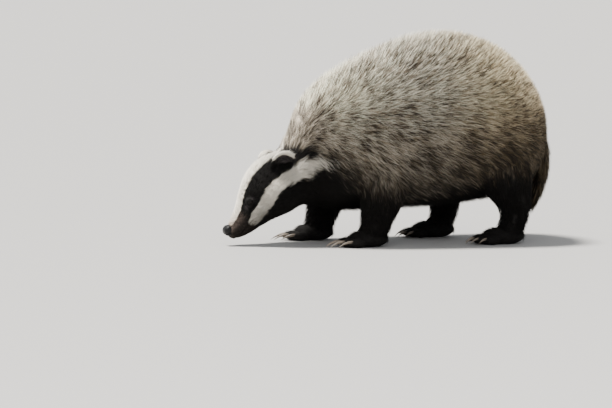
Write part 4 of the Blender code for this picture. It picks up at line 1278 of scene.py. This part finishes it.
def make_claws(name):
    """Claws of one paw: each a curved cone, deeper than wide, that leaves its toe forwards and
    comes down to the ground."""
    spin = paw_frame(name)[1]
    c, s = math.cos(spin), math.sin(spin)
    f = np.linspace(0, 1, 18)
    a = np.linspace(0, FULL_TURN, 12, endpoint=False)
    reach = LEGS[name].claws + 1.0
    path = np.stack([-c * reach * f, -s * reach * f, 7.5 * f * (1 - f) - 6.6 * f**1.6], 1)
    taper = (1 - f) ** 0.75
    thick, wide = (2.6 * taper + 0.12)[:, None, None], (1.7 * taper + 0.12)[:, None, None]
    across = np.stack([-s * np.cos(a), c * np.cos(a), 0 * a], 1)
    upright = np.stack([0 * a, 0 * a, np.sin(a)], 1)
    claws = []
    for toe in TOES:
        middle = path + toe_place(name, toe, toe[2] - 3.5, 8.0)
        rings = middle[:, None] + (across[None] * wide + upright[None] * thick)
        rings[..., 2] = np.maximum(rings[..., 2], 0.3)
        claws.append(closed_tube("claw", rings, middle[0], rings[-1].mean(0)))
    finish_piece(join_solids(f"claws_{name.replace('leg', 'paw')}", claws), CLAW)


# Floor, light and camera, in metres and pixels
FLOOR_HALF = 40.0
KEY_PLACE, FILL_PLACE = (-0.8, 0.35, 2.7), (-0.8, -2.8, 1.7)
LIT_PLACE = (0, 0, 0.15)
AZIMUTH, ELEVATION = math.radians(-15.0), math.radians(4.5)
CAMERA_DISTANCE = 5.0
PIXEL = 0.0015
IMAGE_WIDTH, IMAGE_HEIGHT = 612, 408
ORIGIN_PIXEL = (387.0, 242.0)


def build_stage():
    """Pale floor, pale room light, and a broad key light from above and behind the head."""
    corners = [(x * FLOOR_HALF, y * FLOOR_HALF, 0) for x, y in ((-1, -1), (1, -1), (1, 1), (-1, 1))]
    mesh = bpy.data.meshes.new("floor")
    mesh.from_pydata(corners, [], [(0, 1, 2, 3)])
    material, _, shader = new_material("pale_floor")
    shader.inputs["Base Color"].default_value = (0.38, 0.374, 0.364, 1)
    shader.inputs["Roughness"].default_value = 0.7
    mesh.materials.append(material)
    add_object("floor", mesh)
    world = bpy.data.worlds.new("room")
    bpy.context.scene.world = world
    world.use_nodes = True
    room = world.node_tree.nodes["Background"]
    room.inputs["Color"].default_value = (0.95, 0.97, 1.0, 1)
    room.inputs["Strength"].default_value = 0.66
    key = bpy.data.lights.new("key", "SUN")
    key.energy, key.angle = 11.5, math.radians(13)
    key.color = (1.0, 0.97, 0.92)
    fill = bpy.data.lights.new("fill", "AREA")
    fill.energy, fill.size = 42.0, 2.4
    for light, place in ((key, KEY_PLACE), (fill, FILL_PLACE)):
        lamp = add_object(light.name, light)
        lamp.location = place
        lamp.rotation_euler = (Vector(place) - Vector(LIT_PLACE)).to_track_quat("Z", "Y").to_euler()


def build_camera():
    """Camera at the photograph's angle, with the ground under the badger's middle at its pixel."""
    a, e = AZIMUTH, ELEVATION
    right = Vector((math.cos(a), math.sin(a), 0))
    up = Vector((-math.sin(a) * math.sin(e), math.cos(a) * math.sin(e), math.cos(e)))
    back = right.cross(up)
    aim = right * (IMAGE_WIDTH / 2 - ORIGIN_PIXEL[0]) * PIXEL
    aim += up * (ORIGIN_PIXEL[1] - IMAGE_HEIGHT / 2) * PIXEL
    data = bpy.data.cameras.new("camera")
    data.sensor_width = 36.0
    data.lens = data.sensor_width * CAMERA_DISTANCE / (IMAGE_WIDTH * PIXEL)
    data.clip_start, data.clip_end = 0.1, 50.0
    camera = add_object("camera", data)
    camera.location = aim + back * CAMERA_DISTANCE
    camera.rotation_euler = Matrix((right, up, back)).transposed().to_euler()
    bpy.context.scene.camera = camera


build_camera()
build_stage()
skin_points = make_skin()
for label, side in SIDES.items():
    make_eye(side, label)
make_nose()
for name in LEGS:
    make_claws(name)
make_coat(skin_points)
